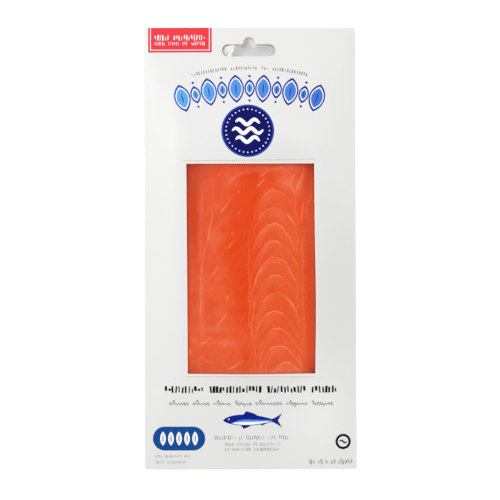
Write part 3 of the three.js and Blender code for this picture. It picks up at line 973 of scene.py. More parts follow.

# %% [markdown]
# ## The fish
#
# The fish is a flat block of cold-smoked salmon slices, cut across the muscle. What the eye reads is its
# build: a darker band runs down the middle, where the slices meet the skin side. To its right the muscle
# lies in nested arches, one under the other, and each is edged with a pale line of fat. To its left the
# muscle slants, and the fat shows as loose lines and specks.
#
# A sculptor would draw these lines by hand. Here the arches are one formula, repeated down the fish with
# small differences, and the loose lines are smooth curves through a few points. For each point of the
# fish's face the distance to every line is worked out. That gives how fatty the point is and how deep the
# furrow beside the line is. Four more fields say how red the point is, with painted shade as deeper red at
# the window's edges, how orange, how much painted shade darkens it, and how much haze of smeared fat and
# painted sheen of the film lies on it. The material turns all five into colour.

# %% Sizes of the fish and its grid
FISH_FLAT_HALF_WIDTH, FISH_HALF_WIDTH = 39.0, 46.7
FISH_HEAD, FISH_FOOT, FISH_END_ROUND = 62.5, -86.5, 8.0
FLESH_TOP = 4.85  # above the mid-plane, at the edge of the window
FLESH_DOME = 0.35  # how much higher the fish stands in the middle of the window
FLESH_PITCH, HIDDEN_PITCH = 0.36, 1.6
FLESH_FOOT = 0.95  # above the table
FILM_GAP, FILM_GAP_BELOW = 0.12, 0.15

fine_x = spaced(WINDOW_LEFT - 0.9, WINDOW_RIGHT + 1.6, FLESH_PITCH)
fine_y = spaced(WINDOW_FOOT - 1.6, WINDOW_HEAD + 0.9, FLESH_PITCH)


def with_hidden_ends(low, fine, high):
    """The fine stations in the window, with coarser ones before and after them, under the card."""
    return np.concatenate([
        spaced(low, fine[0], HIDDEN_PITCH)[:-1], fine, spaced(fine[-1], high, HIDDEN_PITCH)[1:],
    ])


flesh_x = with_hidden_ends(-FISH_HALF_WIDTH, fine_x, FISH_HALF_WIDTH)
flesh_y = with_hidden_ends(FISH_FOOT, fine_y, FISH_HEAD)
X, Y = np.meshgrid(flesh_x, flesh_y)
print("the fish's face has", X.size, "points")


def mottle(x, y, size, seed, stretch=1.0, turn=0.0):
    """Smooth unevenness from -1 to 1: a sum of waves about size millimetres long, in seeded directions."""
    draw = np.random.default_rng(seed)
    along = (x * np.cos(turn) + y * np.sin(turn)) / stretch
    across = -x * np.sin(turn) + y * np.cos(turn)
    total = 0 * x
    for _ in range(10):
        angle, phase = draw.uniform(0, 2 * np.pi, 2)
        wavelength = size * draw.uniform(0.6, 1.7)
        way = along * np.cos(angle) + across * np.sin(angle)
        total = total + np.sin(2 * np.pi * way / wavelength + phase)
    return total / 4.5


# Lines are looked up at slightly shifted places, so that none of them is quite smooth.
LX = X + 0.35 * mottle(X, Y, 9, 21) + 0.22 * mottle(X, Y, 3.4, 22)
LY = Y + 0.35 * mottle(X, Y, 9, 23) + 0.22 * mottle(X, Y, 3.4, 24)

# %% Arched fat lines
# The legs fall with the square of the distance from the top, by so much per mm. The left leg turns upright
# by its reach, and the right one runs straight past its bend.
LEFT_FALL, RIGHT_FALL = 0.096, 0.073
LEFT_REACH, RIGHT_BEND = 16.5, 11.0
# Each arch: x and y of its top, how steep its left and right legs are beside the usual, how pale it is, and
# the stretches of it that shine: from and to, beside the top, and how brightly.
ARCHES = [
    (14.5, 34.4, 1.00, 1.00, 0.26, [(-6.8, 2.5, 0.75)]),
    (14.5, 23.9, 0.85, 0.95, 0.22, [(-9.5, -2.5, 0.65), (7.4, 12.0, 1.2)]),
    (13.9, 14.1, 0.85, 1.20, 0.40, [(-4.0, 5.5, 0.95), (5.0, 12.5, 0.6)]),
    (13.9, 3.6, 1.00, 0.95, 0.35, [(-5.2, 4.8, 0.95)]),
    (14.5, -5.7, 1.10, 1.22, 0.42, [(-11.8, -7.2, 1.0), (8.3, 12.8, 0.9)]),
    (14.1, -16.4, 1.25, 0.95, 0.32, [(-3.0, 4.2, 1.0)]),
    (15.3, -26.8, 1.10, 1.12, 0.42, [(-7.6, -4.3, 1.0), (6.0, 9.6, 1.25), (9.0, 16.0, 0.5)]),
    (14.7, -38.0, 0.95, 1.10, 0.38, [(-5.8, 5.3, 1.15), (-11.4, -7.8, 0.8)]),
    (15.6, -48.4, 1.05, 0.95, 0.38, [(-3.8, 4.6, 1.0), (4.0, 16.0, 0.45)]),
    (16.7, -58.6, 1.10, 0.90, 0.42, [(-5.4, 6.0, 0.95), (5.0, 15.0, 0.6)]),
    (20.8, -68.5, 0.95, 1.20, 0.38, [(-3.8, 7.8, 1.15)]),
]


def lines(distance, width):
    """Paleness of a line of fat by the distance from its middle, falling like a bell."""
    return np.exp(-((distance / width) ** 2))


def stretch_of(place, start, end, ease):
    """1 between start and end, easing to 0 over a short way outside them."""
    return smooth((place - start) / ease + 0.5) * smooth((end - place) / ease + 0.5)


fat = np.zeros_like(X)
shingle = np.zeros_like(X)
under_arch = np.zeros_like(X)
pale_patches = np.zeros_like(X)
patch_draw = np.random.default_rng(70)
for number, (top_x, top_y, steep_left, steep_right, pale, shining) in enumerate(ARCHES):
    aside = LX - top_x
    on_left = LEFT_FALL * steep_left * aside**2 * (1 + (aside / LEFT_REACH) ** 6)
    left_grade = LEFT_FALL * steep_left * (2 * aside + 8 * aside**7 / LEFT_REACH**6)
    bent = np.clip(aside, 0, RIGHT_BEND)
    on_right = RIGHT_FALL * steep_right * (bent**2 + 2 * RIGHT_BEND * (aside - bent))
    right_grade = RIGHT_FALL * steep_right * 2 * bent
    drop = np.where(aside < 0, on_left, on_right)
    grade = np.where(aside < 0, left_grade, right_grade)
    below = (top_y - LY - drop) / np.sqrt(1 + grade**2)
    leg_end = stretch_of(aside, -13.4, 15.0, 3.0)
    thin = 0.24 + 0.05 * mottle(X, Y, 6, 60 + number)
    shine = sum(bright * stretch_of(aside, start, end, 1.6) for start, end, bright in shining)
    uneven = 0.85 + 0.3 * mottle(X, Y, 5, 40 + number)
    fat = np.maximum(fat, 0.88 * uneven * leg_end * np.maximum(0.6 * pale, shine) * lines(below, thin))
    fat = np.maximum(fat, 0.05 * leg_end * lines(below - 0.3, 0.8))
    tile = (below > 0) & (below < 10) & (leg_end > 0)
    shingle = np.where(tile, leg_end * np.exp(-below / 3), shingle)
    under_arch = np.where(tile, leg_end, under_arch)
    middle, depth, strength = patch_draw.uniform((-6, 1.5, 0.5), (1, 3.5, 1.0))
    patch = strength * lines(aside - middle, 5.5) * lines(below - depth, 2.2)
    pale_patches = np.where(tile, patch, pale_patches)
print("arches cover", round(100 * np.mean(fat > 0.3), 1), "% of the face")

# %% Loose fat lines
def route(points, pitch=0.5):
    """A smooth path through points: between two, the cubic whose ends head along the line of neighbours."""
    points = np.asarray(points, float)
    padded = np.concatenate([2 * points[:1] - points[1:2], points, 2 * points[-1:] - points[-2:-1]])
    pieces = []
    for a, b, c, d in zip(padded[:-3], padded[1:-2], padded[2:-1], padded[3:]):
        t = np.linspace(0, 1, max(2, int(np.hypot(*(c - b)) / pitch)), endpoint=False)[:, None]
        pieces.append(0.5 * (2 * b + (c - a) * t + (2 * a - 5 * b + 4 * c - d) * t**2
                             + (3 * b - a - 3 * c + d) * t**3))
    return np.concatenate([*pieces, points[-1:]])


def along_line(points, width, taper=0.3):
    """Paleness of a loose line over the face: a bell across it, fading out over the taper at its ends."""
    path = route(points)
    near = np.full(X.shape, 1e9)
    share = np.zeros_like(X)
    for step, (x, y) in enumerate(path):
        distance = (LX - x) ** 2 + (LY - y) ** 2
        closer = distance < near
        near = np.where(closer, distance, near)
        share = np.where(closer, step / (len(path) - 1), share)
    ends = smooth(np.minimum(share, 1 - share) / taper)
    return ends * lines(np.sqrt(near), width)


# Each loose line: how pale it is, its width in millimetres, and the points it runs through.
LOOSE_LINES = [
    (0.75, 0.36, [(-21.8, 23.5), (-22.3, 20.5), (-23.4, 14.3), (-25.2, 6.0), (-27.0, -0.4)]),
    (0.45, 0.36, [(-25.9, 3.0), (-28.3, -7.1), (-29.1, -20.4), (-29.6, -33.1), (-29.9, -45.1),
                  (-30.4, -53.7)]),
    (0.4, 0.36, [(-29.6, -30.0), (-29.9, -38.0), (-30.1, -46.0)]),
    (0.42, 0.36, [(-25.2, 9.0), (-26.6, 0.0), (-28.2, -9.0), (-29.0, -19.0)]),
    (0.28, 0.4, [(-29.4, 38.6), (-28.6, 29.6), (-28.7, 15.6)]),
    (0.85, 0.38, [(-18.2, 19.6), (-15.2, 23.6), (-12.6, 27.2)]),
    (0.4, 0.36, [(-13.6, 25.9), (-11.2, 29.2)]),
    (0.58, 0.38, [(-14.7, -0.4), (-12.4, 0.9), (-10.0, 3.9)]),
    (0.42, 0.36, [(-11.0, 1.0), (-8.4, 6.0)]),
    (0.48, 0.42, [(-23.5, -18.2), (-20.6, -13.2), (-17.8, -9.4)]),
    (0.75, 0.38, [(-20.6, -47.3), (-17.0, -43.0), (-13.2, -38.4)]),
    (1.05, 0.38, [(-30.2, -56.5), (-27.6, -56.7), (-25.4, -56.0)]),
    (0.7, 0.38, [(-25.9, -56.3), (-25.0, -54.6), (-23.2, -52.8)]),
    (0.95, 0.38, [(-14.6, -71.8), (-11.8, -71.5), (-9.6, -70.6), (-7.6, -68.9), (-6.0, -68.0)]),
    (0.4, 0.36, [(-7.4, -68.8), (-4.6, -67.9), (-2.0, -67.5)]),
    (0.36, 0.4, [(-30.6, -62.4), (-28.0, -66.6), (-25.4, -68.3), (-21.1, -67.2)]),
    (0.42, 0.45, [(-37.0, -60.0), (-34.6, -62.6)]),
    (0.35, 0.4, [(-2.4, -73.6), (4.0, -71.2), (9.0, -70.2)]),
    (0.6, 0.42, [(5.0, 41.6), (8.4, 44.4), (12.6, 46.4)]),
    (0.3, 0.5, [(11.0, 46.0), (17.0, 47.6), (24.0, 47.4)]),
    (1.0, 0.38, [(4.0, 35.8), (6.2, 38.6), (9.0, 41.8)]),
    (0.5, 0.4, [(33.2, 28.2), (31.2, 21.4), (29.2, 14.2)]),
    (0.3, 0.45, [(37.0, 36.0), (34.8, 27.0), (33.0, 18.0)]),
    (0.35, 1.1, [(33.2, 48.0), (30.4, 40.0), (27.8, 33.6), (26.6, 30.0)]),
    (1.25, 0.38, [(23.4, 38.4), (25.4, 35.4), (27.2, 31.6)]),
    (0.6, 0.4, [(26.6, 44.6), (25.0, 41.0), (24.0, 38.2)]),
    (0.35, 0.4, [(27.2, 32.0), (27.6, 24.0), (27.2, 16.0)]),
    (0.2, 0.7, [(31.0, 8.0), (31.2, -4.0), (31.4, -14.0)]),
    (0.14, 0.5, [(31.2, -12.0), (31.6, -36.0), (32.4, -62.0)]),
    (0.3, 0.36, [(27.2, 12.0), (28.2, 4.0), (28.6, -6.0)]),
    (0.3, 0.36, [(27.8, -16.0), (28.6, -26.0), (28.0, -40.0), (29.4, -52.0)]),
    (0.3, 0.33, [(0.2, 14.0), (-1.0, 4.0), (-0.4, -4.0), (-1.2, -14.0), (-0.6, -22.0), (-1.5, -30.0),
                 (-1.2, -38.0)]),
    (0.45, 0.33, [(0.0, -10.1), (0.7, -16.7), (0.3, -23.4), (-0.3, -30.0), (0.0, -36.7), (-0.7, -43.4),
                  (0.3, -50.0), (0.0, -56.7), (0.8, -66.0)]),
    (0.4, 0.33, [(3.0, -18.7), (2.0, -23.4), (1.5, -27.4), (1.3, -32.0), (0.3, -38.0)]),
    (0.45, 0.33, [(5.3, -24.0), (2.7, -30.7), (1.7, -36.7), (1.3, -42.0), (0.7, -47.4), (1.2, -53.4),
                  (0.4, -58.0)]),
    (0.45, 0.33, [(3.8, -50.7), (3.3, -54.0), (2.3, -56.7), (2.7, -60.7), (3.0, -64.7), (3.6, -69.0)]),
    (0.45, 0.33, [(5.7, -59.4), (6.0, -63.4), (5.3, -68.0), (6.6, -71.4), (6.0, -75.0)]),
    (0.4, 0.33, [(10.4, -66.0), (9.5, -70.0), (8.4, -75.0)]),
    (0.6, 0.36, [(27.6, -64.0), (29.6, -67.0), (31.6, -71.4)]),
    (0.5, 0.42, [(12.8, -8.4), (16.0, -8.8), (19.4, -10.2)]),
    (0.35, 0.6, [(15.0, -6.6), (18.4, -7.4), (21.6, -9.0)]),
]
# Specks of fat: x, y, how pale, and how long beside their width.
SPECKS = [
    (-6.4, 33.4, 0.4, 1.0), (-10.4, 8.2, 0.35, 1.2), (-6.7, 20.9, 0.25, 1.0), (-13.9, -30.2, 0.5, 1.8),
    (-15.4, -58.1, 0.3, 1.2), (-36.0, -71.6, 0.4, 1.2), (-36.4, -62.4, 0.3, 1.6), (-13.8, -17.0, 0.2, 1.6),
]
for pale, width, points in LOOSE_LINES:
    fat = np.maximum(fat, pale * along_line(points, 0.8 * width) * (0.9 + 0.2 * mottle(X, Y, 4, 90)))
for x, y, pale, length in SPECKS:
    fat = np.maximum(fat, pale * lines(np.hypot(LX - x, (LY - y) / length), 0.62))
print("with the loose lines, fat covers", round(100 * np.mean(fat > 0.3), 1), "% of the face")

# %% Red, orange, dark and hazy fields
from_left, from_right = X - WINDOW_LEFT, WINDOW_RIGHT - X
from_foot, from_head = Y - WINDOW_FOOT, WINDOW_HEAD - Y
SLANT = 1.1  # rise of the muscle on the left, per mm to the right
across_slant = (Y - SLANT * X) / np.hypot(1, SLANT)


def near_edge(distance, reach):
    """1 at an edge of the window, falling inwards as exp(-distance / reach)."""
    return np.exp(-np.maximum(distance, 0) / reach)


def near_corner(from_side, from_end, reach):
    """1 in a corner of the window, falling like a bell with the distance from it."""
    return np.exp(-(from_side**2 + from_end**2) / reach**2)


# The lean red muscle: its left border reaches furthest at mid-height and breaks into slanting fingers.
streaks = mottle(X, 0.1 * Y, 2.4, 45)  # upright ones, in the painted shade and painted sheen where the film is drawn over the fish's left edge
fingers = 2.6 * mottle(across_slant, 0 * X, 10, 31) + 1.2 * mottle(X, Y, 5, 30)
red_left = -5.5 - 11.5 * lines(Y - 2, np.where(Y > 2, 28, 36)) + fingers
red_right = 4.6 + 0.9 * mottle(X, Y, 9, 33) + 1.5 * smooth((Y - 20) / 15) - 6.0 * smooth((-28 - Y) / 22)
lean = smooth((X - red_left) / 18 + 0.5) * smooth((red_right - X) / 5 + 0.5) * smooth((46.5 - Y) / 4)
lean *= 1 - 0.3 * smooth((-38 - Y) / 14)
slant = mottle(X, Y, 7, 32, stretch=3.2, turn=np.radians(48)) * smooth(-(X - 4) / 6)
red = np.clip(
    0.85 * lean + 0.13 * slant + 0.08 * mottle(X, Y, 4, 34)
    + under_arch * (0.07 + 0.16 * mottle(X, Y, 9, 29, stretch=2.0) - 0.25 * pale_patches)
    # The last four terms are painted shade: deeper red along the window's right edge, in its right corners
    # and near its left edge.
    + 0.5 * smooth((8.4 - from_right) / 6.5)
    + 0.6 * near_corner(from_right, np.minimum(from_head, from_foot), 6)
    + 0.55 * lines(from_left - 5.2, 3) * stretch_of(Y, 2, 38, 14)
    + (0.3 + 0.15 * streaks) * near_edge(from_left, 6) * smooth((20 - Y) / 40),
    0, 1)
orange_left = (1 - under_arch) * (0.45 + 0.45 * mottle(X, Y, 12, 48))
orange = np.clip(
    under_arch * (0.7 + 0.3 * mottle(X, Y, 7, 46) - 0.5 * pale_patches)
    + 0.4 * smooth((14 - from_right) / 6) * smooth((10 - Y) / 30)
    + orange_left * smooth((X + 27) / 9) * smooth((28 - Y) / 30),
    0, 1)

# Shade is painted on the face towards the window's edges and corners, where the card's edge and the folds
# of the film shade it. Each term is the share of light lost, and several losses leave the product of what
# each leaves.
losses = [
    # the left edge, broad and then close, least at mid-height and at the foot
    (0.40 + 0.05 * streaks) * near_edge(from_left, 6.3) * smooth((Y + 90) / 140)
    * (1 - 0.25 * lines(Y + 4, 12)),
    0.08 * near_edge(from_left, 0.8) + 0.2 * lines(from_left - 0.6, 0.6) * smooth((28 - Y) / 20),
    # the right edge, more towards the head
    (0.11 * smooth((8.4 - from_right) / 6.5) + 0.2 * near_edge(from_right, 0.9))
    * (1 + 0.35 * smooth((Y - 15) / 30)),
    # the head and the foot
    0.30 * near_edge(from_head, 2.8) * (1 - 0.45 * lines(X + 20, 9)),
    0.20 * near_edge(from_foot, 2.8) * (1 - 0.4 * lines(X - 4, 9)),
    # the corners, on the right broad and then close
    0.25 * near_corner(from_right, from_head, 8),
    0.12 * near_corner(from_right, from_head, 3),
    0.22 * near_corner(from_right, from_foot, 6),
    0.32 * near_corner(from_right, from_foot, 2.2),
    0.20 * near_corner(from_left, from_foot, 7),
    0.12 * near_corner(from_left, from_head, 14),
    # a ribbed band inside the right edge, and the fold under the film by the upper right corner
    0.045 * (1 + mottle(0.12 * X, Y, 1.9, 47)) * lines(X - 32.6, 3.4) * stretch_of(Y, -42, 14, 14),
    0.09 * along_line([(36.5, 47), (34, 41), (31.2, 31), (29.3, 22), (28.7, 15)], 1.5),
]
DARKEST = 0.58  # the loss of light where the painted shade is full
dark = np.clip((1 - np.prod([1 - loss for loss in losses], axis=0)) / DARKEST, 0, 1)

# Painted sheen of the film: light bands down both sides of the fish where the film is pleated, the streaks
# at its left, and thin pale lines inside the window's right and foot edges. With the smears of fat and the
# top swirl they make the haze.
painted_side_sheen = lines(X + 29.4 + 0.012 * Y + 0.5 * mottle(Y, Y, 30, 28), 1.6) * stretch_of(Y, -52, 36, 26)
painted_right_sheen = lines(X - 31.4 - 0.5 * mottle(Y, Y, 30, 36), 1.5) * stretch_of(Y, -70, 12, 16)
top_swirl = along_line([(-16, 33), (-9, 42.4), (0, 45.4), (7, 45)], 1.0, 0.4)
# Each smear: where its middle is, how wide and high it is, and how hazy. Less than 0 is clearer.
SMEARS = [
    (-22, -48.4, 8, 1.8, 0.4), (-14.5, -56.6, 9, 2.0, 0.4), (-34, -54.5, 3, 3, 0.4), (-21, 5, 5, 4, 0.25),
    (14, 47, 10, 1.6, 0.4), (27, 46.8, 5, 2.0, 0.3), (22.5, 39.5, 5.5, 6, 0.6), (30, 36, 3, 5, 0.3),
    (24, -73.4, 13, 2.6, 0.5), (22, 49.4, 6, 1.4, 0.4), (-6, -74.2, 40, 1.8, 0.25),
    (-32.8, 20, 2.6, 17, -0.3), (35.5, 14, 3, 12, 0.17), (33, -61, 2.5, 12, 0.15),
]
smears = sum(veiling * lines((X - x) / wide, 1) * lines((Y - y) / high, 1)
             for x, y, wide, high, veiling in SMEARS)
soft_left = smooth((red_left - X) / 14 + 0.5) * (0.19 + 0.09 * slant + 0.04 * mottle(X, Y, 11, 35))
soft_left += 0.08 * streaks * smooth((-24 - X) / 6)
soft_right = under_arch * lines(X - 21, 12) * (0.18 - 0.1 * lines(Y + 38, 22) - 0.08 * lines(Y - 22, 9))
at_edges = 0.5 * near_edge(from_right, 0.9) + 0.4 * near_edge(from_foot, 0.9)
haze_and_sheen = np.clip(
    0.3 * painted_side_sheen + 0.15 * painted_right_sheen + 0.4 * top_swirl + smears + soft_left + soft_right + at_edges
    + 0.5 * pale_patches,
    0, 1)
print("lean muscle covers", round(100 * np.mean(lean > 0.5), 1), "% of the face")

# %% [markdown]
# The flesh's material is cold-smoked salmon: moist, slightly see-through muscle, so light enters, scatters
# a millimetre or two, furthest in red, and comes out again. The fields become its colours: orange muscle,
# red muscle, pale fat, painted shade in a dark red at the window's edges, and a pale haze that is partly
# smeared fat and partly painted sheen. Its fibres are a tenth of a millimetre thick, too fine to show here,
# so the fibrous mottling is drawn as coarse as a pixel of a close view. The film lies wet on it, so it has
# little gloss of its own.

# %% Flesh material
MUSCLE_DEEP, MUSCLE_PALE, MUSCLE_LEAN, MUSCLE_ORANGE = "#e14d1c", "#e7592a", "#e24409", "#e4571e"
# The third colour here is painted shade at the window's edges; the first is both smeared fat and the film's
# painted sheen.
FAT_SMEAR_AND_SHEEN, CLEAR_FAT, EDGE_SHADE_COLOUR = "#f08b6c", "#ffa272", "#a03026"
VEIL = 0.6  # how much of its colour the thickest haze and painted sheen hide


def smoked_salmon():
    """Muscle in a cloudy orange, mixed in turn with the colour of each of the block's fields."""
    material, tree, output = new_material("cold-smoked salmon")
    place = node(tree, "ShaderNodeTexCoord").outputs["Object"]
    field = {name: node(tree, "ShaderNodeAttribute", {"attribute_name": name}).outputs["Fac"]
             for name in ("fat", "red", "orange", "dark", "haze_and_sheen")}
    slanting = node(tree, "ShaderNodeMapping", {"vector_type": "TEXTURE"}, Vector=place,
                    Rotation=(0, 0, np.arctan(SLANT)), Scale=(3.0, 1, 1))
    fibre = node(tree, "ShaderNodeTexNoise", Vector=slanting.outputs[0], Scale=1 / (2.2 * MM), Detail=4.0)
    cloud = node(tree, "ShaderNodeTexNoise", Vector=place, Scale=1 / (8 * MM), Detail=3.0)
    muscle = stops(node(tree, "ShaderNodeValToRGB", Fac=cloud.outputs["Fac"]),
                   (0.35, MUSCLE_DEEP), (0.65, MUSCLE_PALE))
    warmer = node(tree, "ShaderNodeMix", {"data_type": "RGBA"}, _0=field["orange"],
                  _6=muscle.outputs[0], _7=linear(MUSCLE_ORANGE))
    deeper = node(tree, "ShaderNodeMix", {"data_type": "RGBA"}, _0=field["red"],
                  _6=warmer.outputs[2], _7=linear(MUSCLE_LEAN))
    strand = node(tree, "ShaderNodeMapRange", Value=fibre.outputs["Fac"], From_Min=0.35, From_Max=0.65,
                  To_Min=0.95, To_Max=1.035)
    grain = node(tree, "ShaderNodeTexNoise", Vector=place, Scale=1 / (1.0 * MM), Detail=2.0)
    uneven = node(tree, "ShaderNodeMapRange", Value=grain.outputs["Fac"], From_Min=0.35, From_Max=0.65,
                  To_Min=0.955, To_Max=1.035)
    value = node(tree, "ShaderNodeMath", {"operation": "MULTIPLY"},
                 _0=strand.outputs[0], _1=uneven.outputs[0])
    fibrous = node(tree, "ShaderNodeHueSaturation", Color=deeper.outputs[2], Value=value.outputs[0])
    veiling = node(tree, "ShaderNodeMath", {"operation": "MULTIPLY"}, _0=field["haze_and_sheen"], _1=VEIL)
    veiled = node(tree, "ShaderNodeMix", {"data_type": "RGBA"}, _0=veiling.outputs[0],
                  _6=fibrous.outputs[0], _7=linear(FAT_SMEAR_AND_SHEEN))
    fatty = node(tree, "ShaderNodeMix", {"data_type": "RGBA"}, _0=field["fat"],
                 _6=veiled.outputs[2], _7=linear(CLEAR_FAT))
    edge_shaded = node(tree, "ShaderNodeMix", {"data_type": "RGBA"}, _0=field["dark"],
                 _6=fatty.outputs[2], _7=linear(EDGE_SHADE_COLOUR))
    relief = node(tree, "ShaderNodeBump", Height=fibre.outputs["Fac"], Distance=0.05 * MM, Strength=0.5)
    shader = node(tree, "ShaderNodeBsdfPrincipled", Base_Color=edge_shaded.outputs[2], Roughness=0.5, IOR=1.4,
                  Subsurface_Weight=0.2, Subsurface_Scale=0.7 * MM, Subsurface_Radius=(1.0, 0.35, 0.15),
                  Specular_IOR_Level=0.0, Normal=relief.outputs[0])
    tree.links.new(shader.outputs[0], output.inputs["Surface"])
    return material


salmon_flesh = smoked_salmon()

# %% [markdown]
# ## The fish's block
#
# The block's face is the grid above. Its relief is what makes it flesh: each arch overlaps the next one
# down like a roof tile, a few tenths of a millimetre high, and the fat lines stand a little proud. Outside
# the window the block rounds down like a quarter ellipse to the film's margins. Its foot is one flat face,
# a copy of the grid's border.

# %% Block of flesh
FISH_CENTRE_Y = (FISH_HEAD + FISH_FOOT) / 2
FISH_HALF_LENGTH = (FISH_HEAD - FISH_FOOT) / 2
TILE_RELIEF, FAT_RELIEF, LUMP_RELIEF = 0.22, 0.06, 0.07
LEAST_SHARE = 0.04
DOME_HALF_WIDTH, DOME_MIDDLE, DOME_HALF_LENGTH = 40.0, -12.0, 66.0
FOOT_WIDTH_SHARE, FOOT_LENGTH_SHARE = 0.97, 0.985  # of the block's own width and length


def block_share(x, y):
    """Share of the block's full half thickness: 1 on its flat, sqrt(1 - a a - b b) on its round edges."""
    side = np.maximum(0, np.abs(x) - FISH_FLAT_HALF_WIDTH) / (FISH_HALF_WIDTH - FISH_FLAT_HALF_WIDTH)
    end = np.maximum(0, np.abs(y - FISH_CENTRE_Y) - FISH_HALF_LENGTH + FISH_END_ROUND) / FISH_END_ROUND
    return np.sqrt(np.maximum(LEAST_SHARE**2, 1 - side**2 - end**2))


def dome(x, y):
    """How much higher the fish stands towards the middle of the window."""
    across = smooth(1 - np.abs(x) / DOME_HALF_WIDTH)
    along = smooth(1 - np.abs(y - DOME_MIDDLE) / DOME_HALF_LENGTH)
    return FLESH_DOME * across**0.5 * along**0.35


in_window = smooth(np.minimum(from_left, from_right) / 3) * smooth(np.minimum(from_foot, from_head) / 3)
tiles = TILE_RELIEF * (shingle - 1) * smooth((X - 1) / 5)
slants = -TILE_RELIEF * (0.5 - 0.5 * slant) * smooth(-X / 6)
lumps = LUMP_RELIEF * mottle(X, Y, 11, 37) + 0.5 * LUMP_RELIEF * mottle(X, Y, 4.5, 38)
relief = tiles + slants + lumps - LUMP_RELIEF + FAT_RELIEF * fat
flesh_share = block_share(X, Y)
on_flat = (0.3 + 0.7 * in_window) * (flesh_share > 0.9)
flesh_z = MID + (FLESH_TOP + dome(X, Y)) * flesh_share + relief * on_flat

face_points = np.stack([X, Y, flesh_z], axis=-1).reshape(-1, 3)
flesh_rim = border_ring(X.shape)
foot_points = face_points[flesh_rim] * [FOOT_WIDTH_SHARE, FOOT_LENGTH_SHARE, 0]
foot_points += [0, (1 - FOOT_LENGTH_SHARE) * FISH_CENTRE_Y, FLESH_FOOT]
foot_ring = X.size + np.arange(len(flesh_rim))
no_field = np.zeros(len(foot_ring))
fields = {"fat": fat, "red": red, "orange": orange, "dark": dark, "haze_and_sheen": haze_and_sheen}
salmon = build(
    "salmon_block",
    np.concatenate([face_points, foot_points]),
    np.concatenate([grid_faces(*X.shape), strip(flesh_rim, foot_ring)]),
    [salmon_flesh],
    sharp_degrees=50,
    caps=[foot_ring.tolist()],
    fields={name: np.concatenate([values.ravel(), no_field]) for name, values in fields.items()},
)
print("the fish stands", face_points[:, 2].max().round(2), "mm high, and the card", MID + HALF_THICKNESS)

# %% [markdown]
# ## The film
#
# The pouch is nylon and polyethylene film, 0.1 mm thick, drawn tight by the vacuum. It is clear, so all
# that shows of it is gloss: a sheen where it bridges the furrows between flakes, sharp little creases in
# the corners, and softer pleats near the sides. Light crosses it unchanged, so the material lets light
# straight through and only adds a reflection, more of it at a glancing angle, by the fifth power of how far
# the film is turned away.

# %% Film material
HEAD_ON_MIRROR = 0.034  # what one face of plastic mirrors of light that falls on it squarely


def clear_film():
    """Only a reflection, whose share rises from its head-on value to 1 by the fifth power of the turn."""
    material, tree, output = new_material("clear nylon and polyethylene film")
    place = node(tree, "ShaderNodeTexCoord").outputs["Object"]
    ripple = node(tree, "ShaderNodeTexNoise", Vector=place, Scale=1 / (3.5 * MM), Detail=3.0)
    relief = node(tree, "ShaderNodeBump", Height=ripple.outputs["Fac"], Distance=0.05 * MM, Strength=0.4)
    facing = node(tree, "ShaderNodeLayerWeight", Blend=0.5, Normal=relief.outputs[0]).outputs["Facing"]
    steepness = node(tree, "ShaderNodeMath", {"operation": "POWER"}, _0=facing, _1=5.0)
    mirrored = node(tree, "ShaderNodeMapRange", Value=steepness.outputs[0],
                    To_Min=HEAD_ON_MIRROR, To_Max=1.0)
    clear = node(tree, "ShaderNodeBsdfTransparent", Color=(1, 1, 1, 1))
    gloss = node(tree, "ShaderNodeBsdfGlossy", Color=(1, 1, 1, 1), Roughness=0.16,
                 Normal=relief.outputs[0])
    mixed = node(tree, "ShaderNodeMixShader",
                 _0=mirrored.outputs[0], _1=clear.outputs[0], _2=gloss.outputs[0])
    tree.links.new(mixed.outputs[0], output.inputs["Surface"])
    return material


pouch_film = clear_film()

# %% Film over the fish
FILM_PITCH, FILM_EDGE_PITCH = 0.56, 0.8
FILM_HALF_WIDTH, FILM_HEAD, FILM_FOOT, FILM_MARGIN = 58.0, 111.0, -112.0, 0.2
# Each crease: its ends, its height and its half width.
CREASES = [
    ((24, 50), (38, 44), 0.24, 0.45), ((28, 51), (38.5, 38), 0.2, 0.45), ((33, 52), (36.5, 30), 0.16, 0.5),
    ((21, 43), (27, 52), 0.24, 0.45), ((26, 40), (36, 52), 0.22, 0.5), ((31, 36), (37, 46), 0.18, 0.45),
    ((-38, -60), (-24, -74), 0.24, 0.45), ((-38, -68), (-30, -76), 0.2, 0.45),
    ((-36, -50), (-34, -75), 0.14, 0.5), ((-37, -73), (-30, -63), 0.22, 0.45),
    ((-34, -76), (-25, -69), 0.18, 0.45), ((-36, 50), (-33, 20), 0.1, 0.8),
    ((36, -50), (37, -74), 0.14, 0.7), ((30, 44), (31, -40), 0.05, 1.4), ((-29, 40), (-30, -60), 0.05, 1.6),
    ((-10, 50), (-4, 36), 0.06, 0.8), ((30, -60), (38, -73), 0.12, 0.5),
]


def crease(x, y, start, end, height, width):
    """A ridge along a straight line, a bell across it, that rises and falls along its length as a sine."""
    start, run = np.array(start, float), np.subtract(end, start)
    share = np.clip(((x - start[0]) * run[0] + (y - start[1]) * run[1]) / (run @ run), 0, 1)
    distance = np.hypot(x - start[0] - share * run[0], y - start[1] - share * run[1])
    return height * np.sin(np.pi * share) * lines(distance, width)


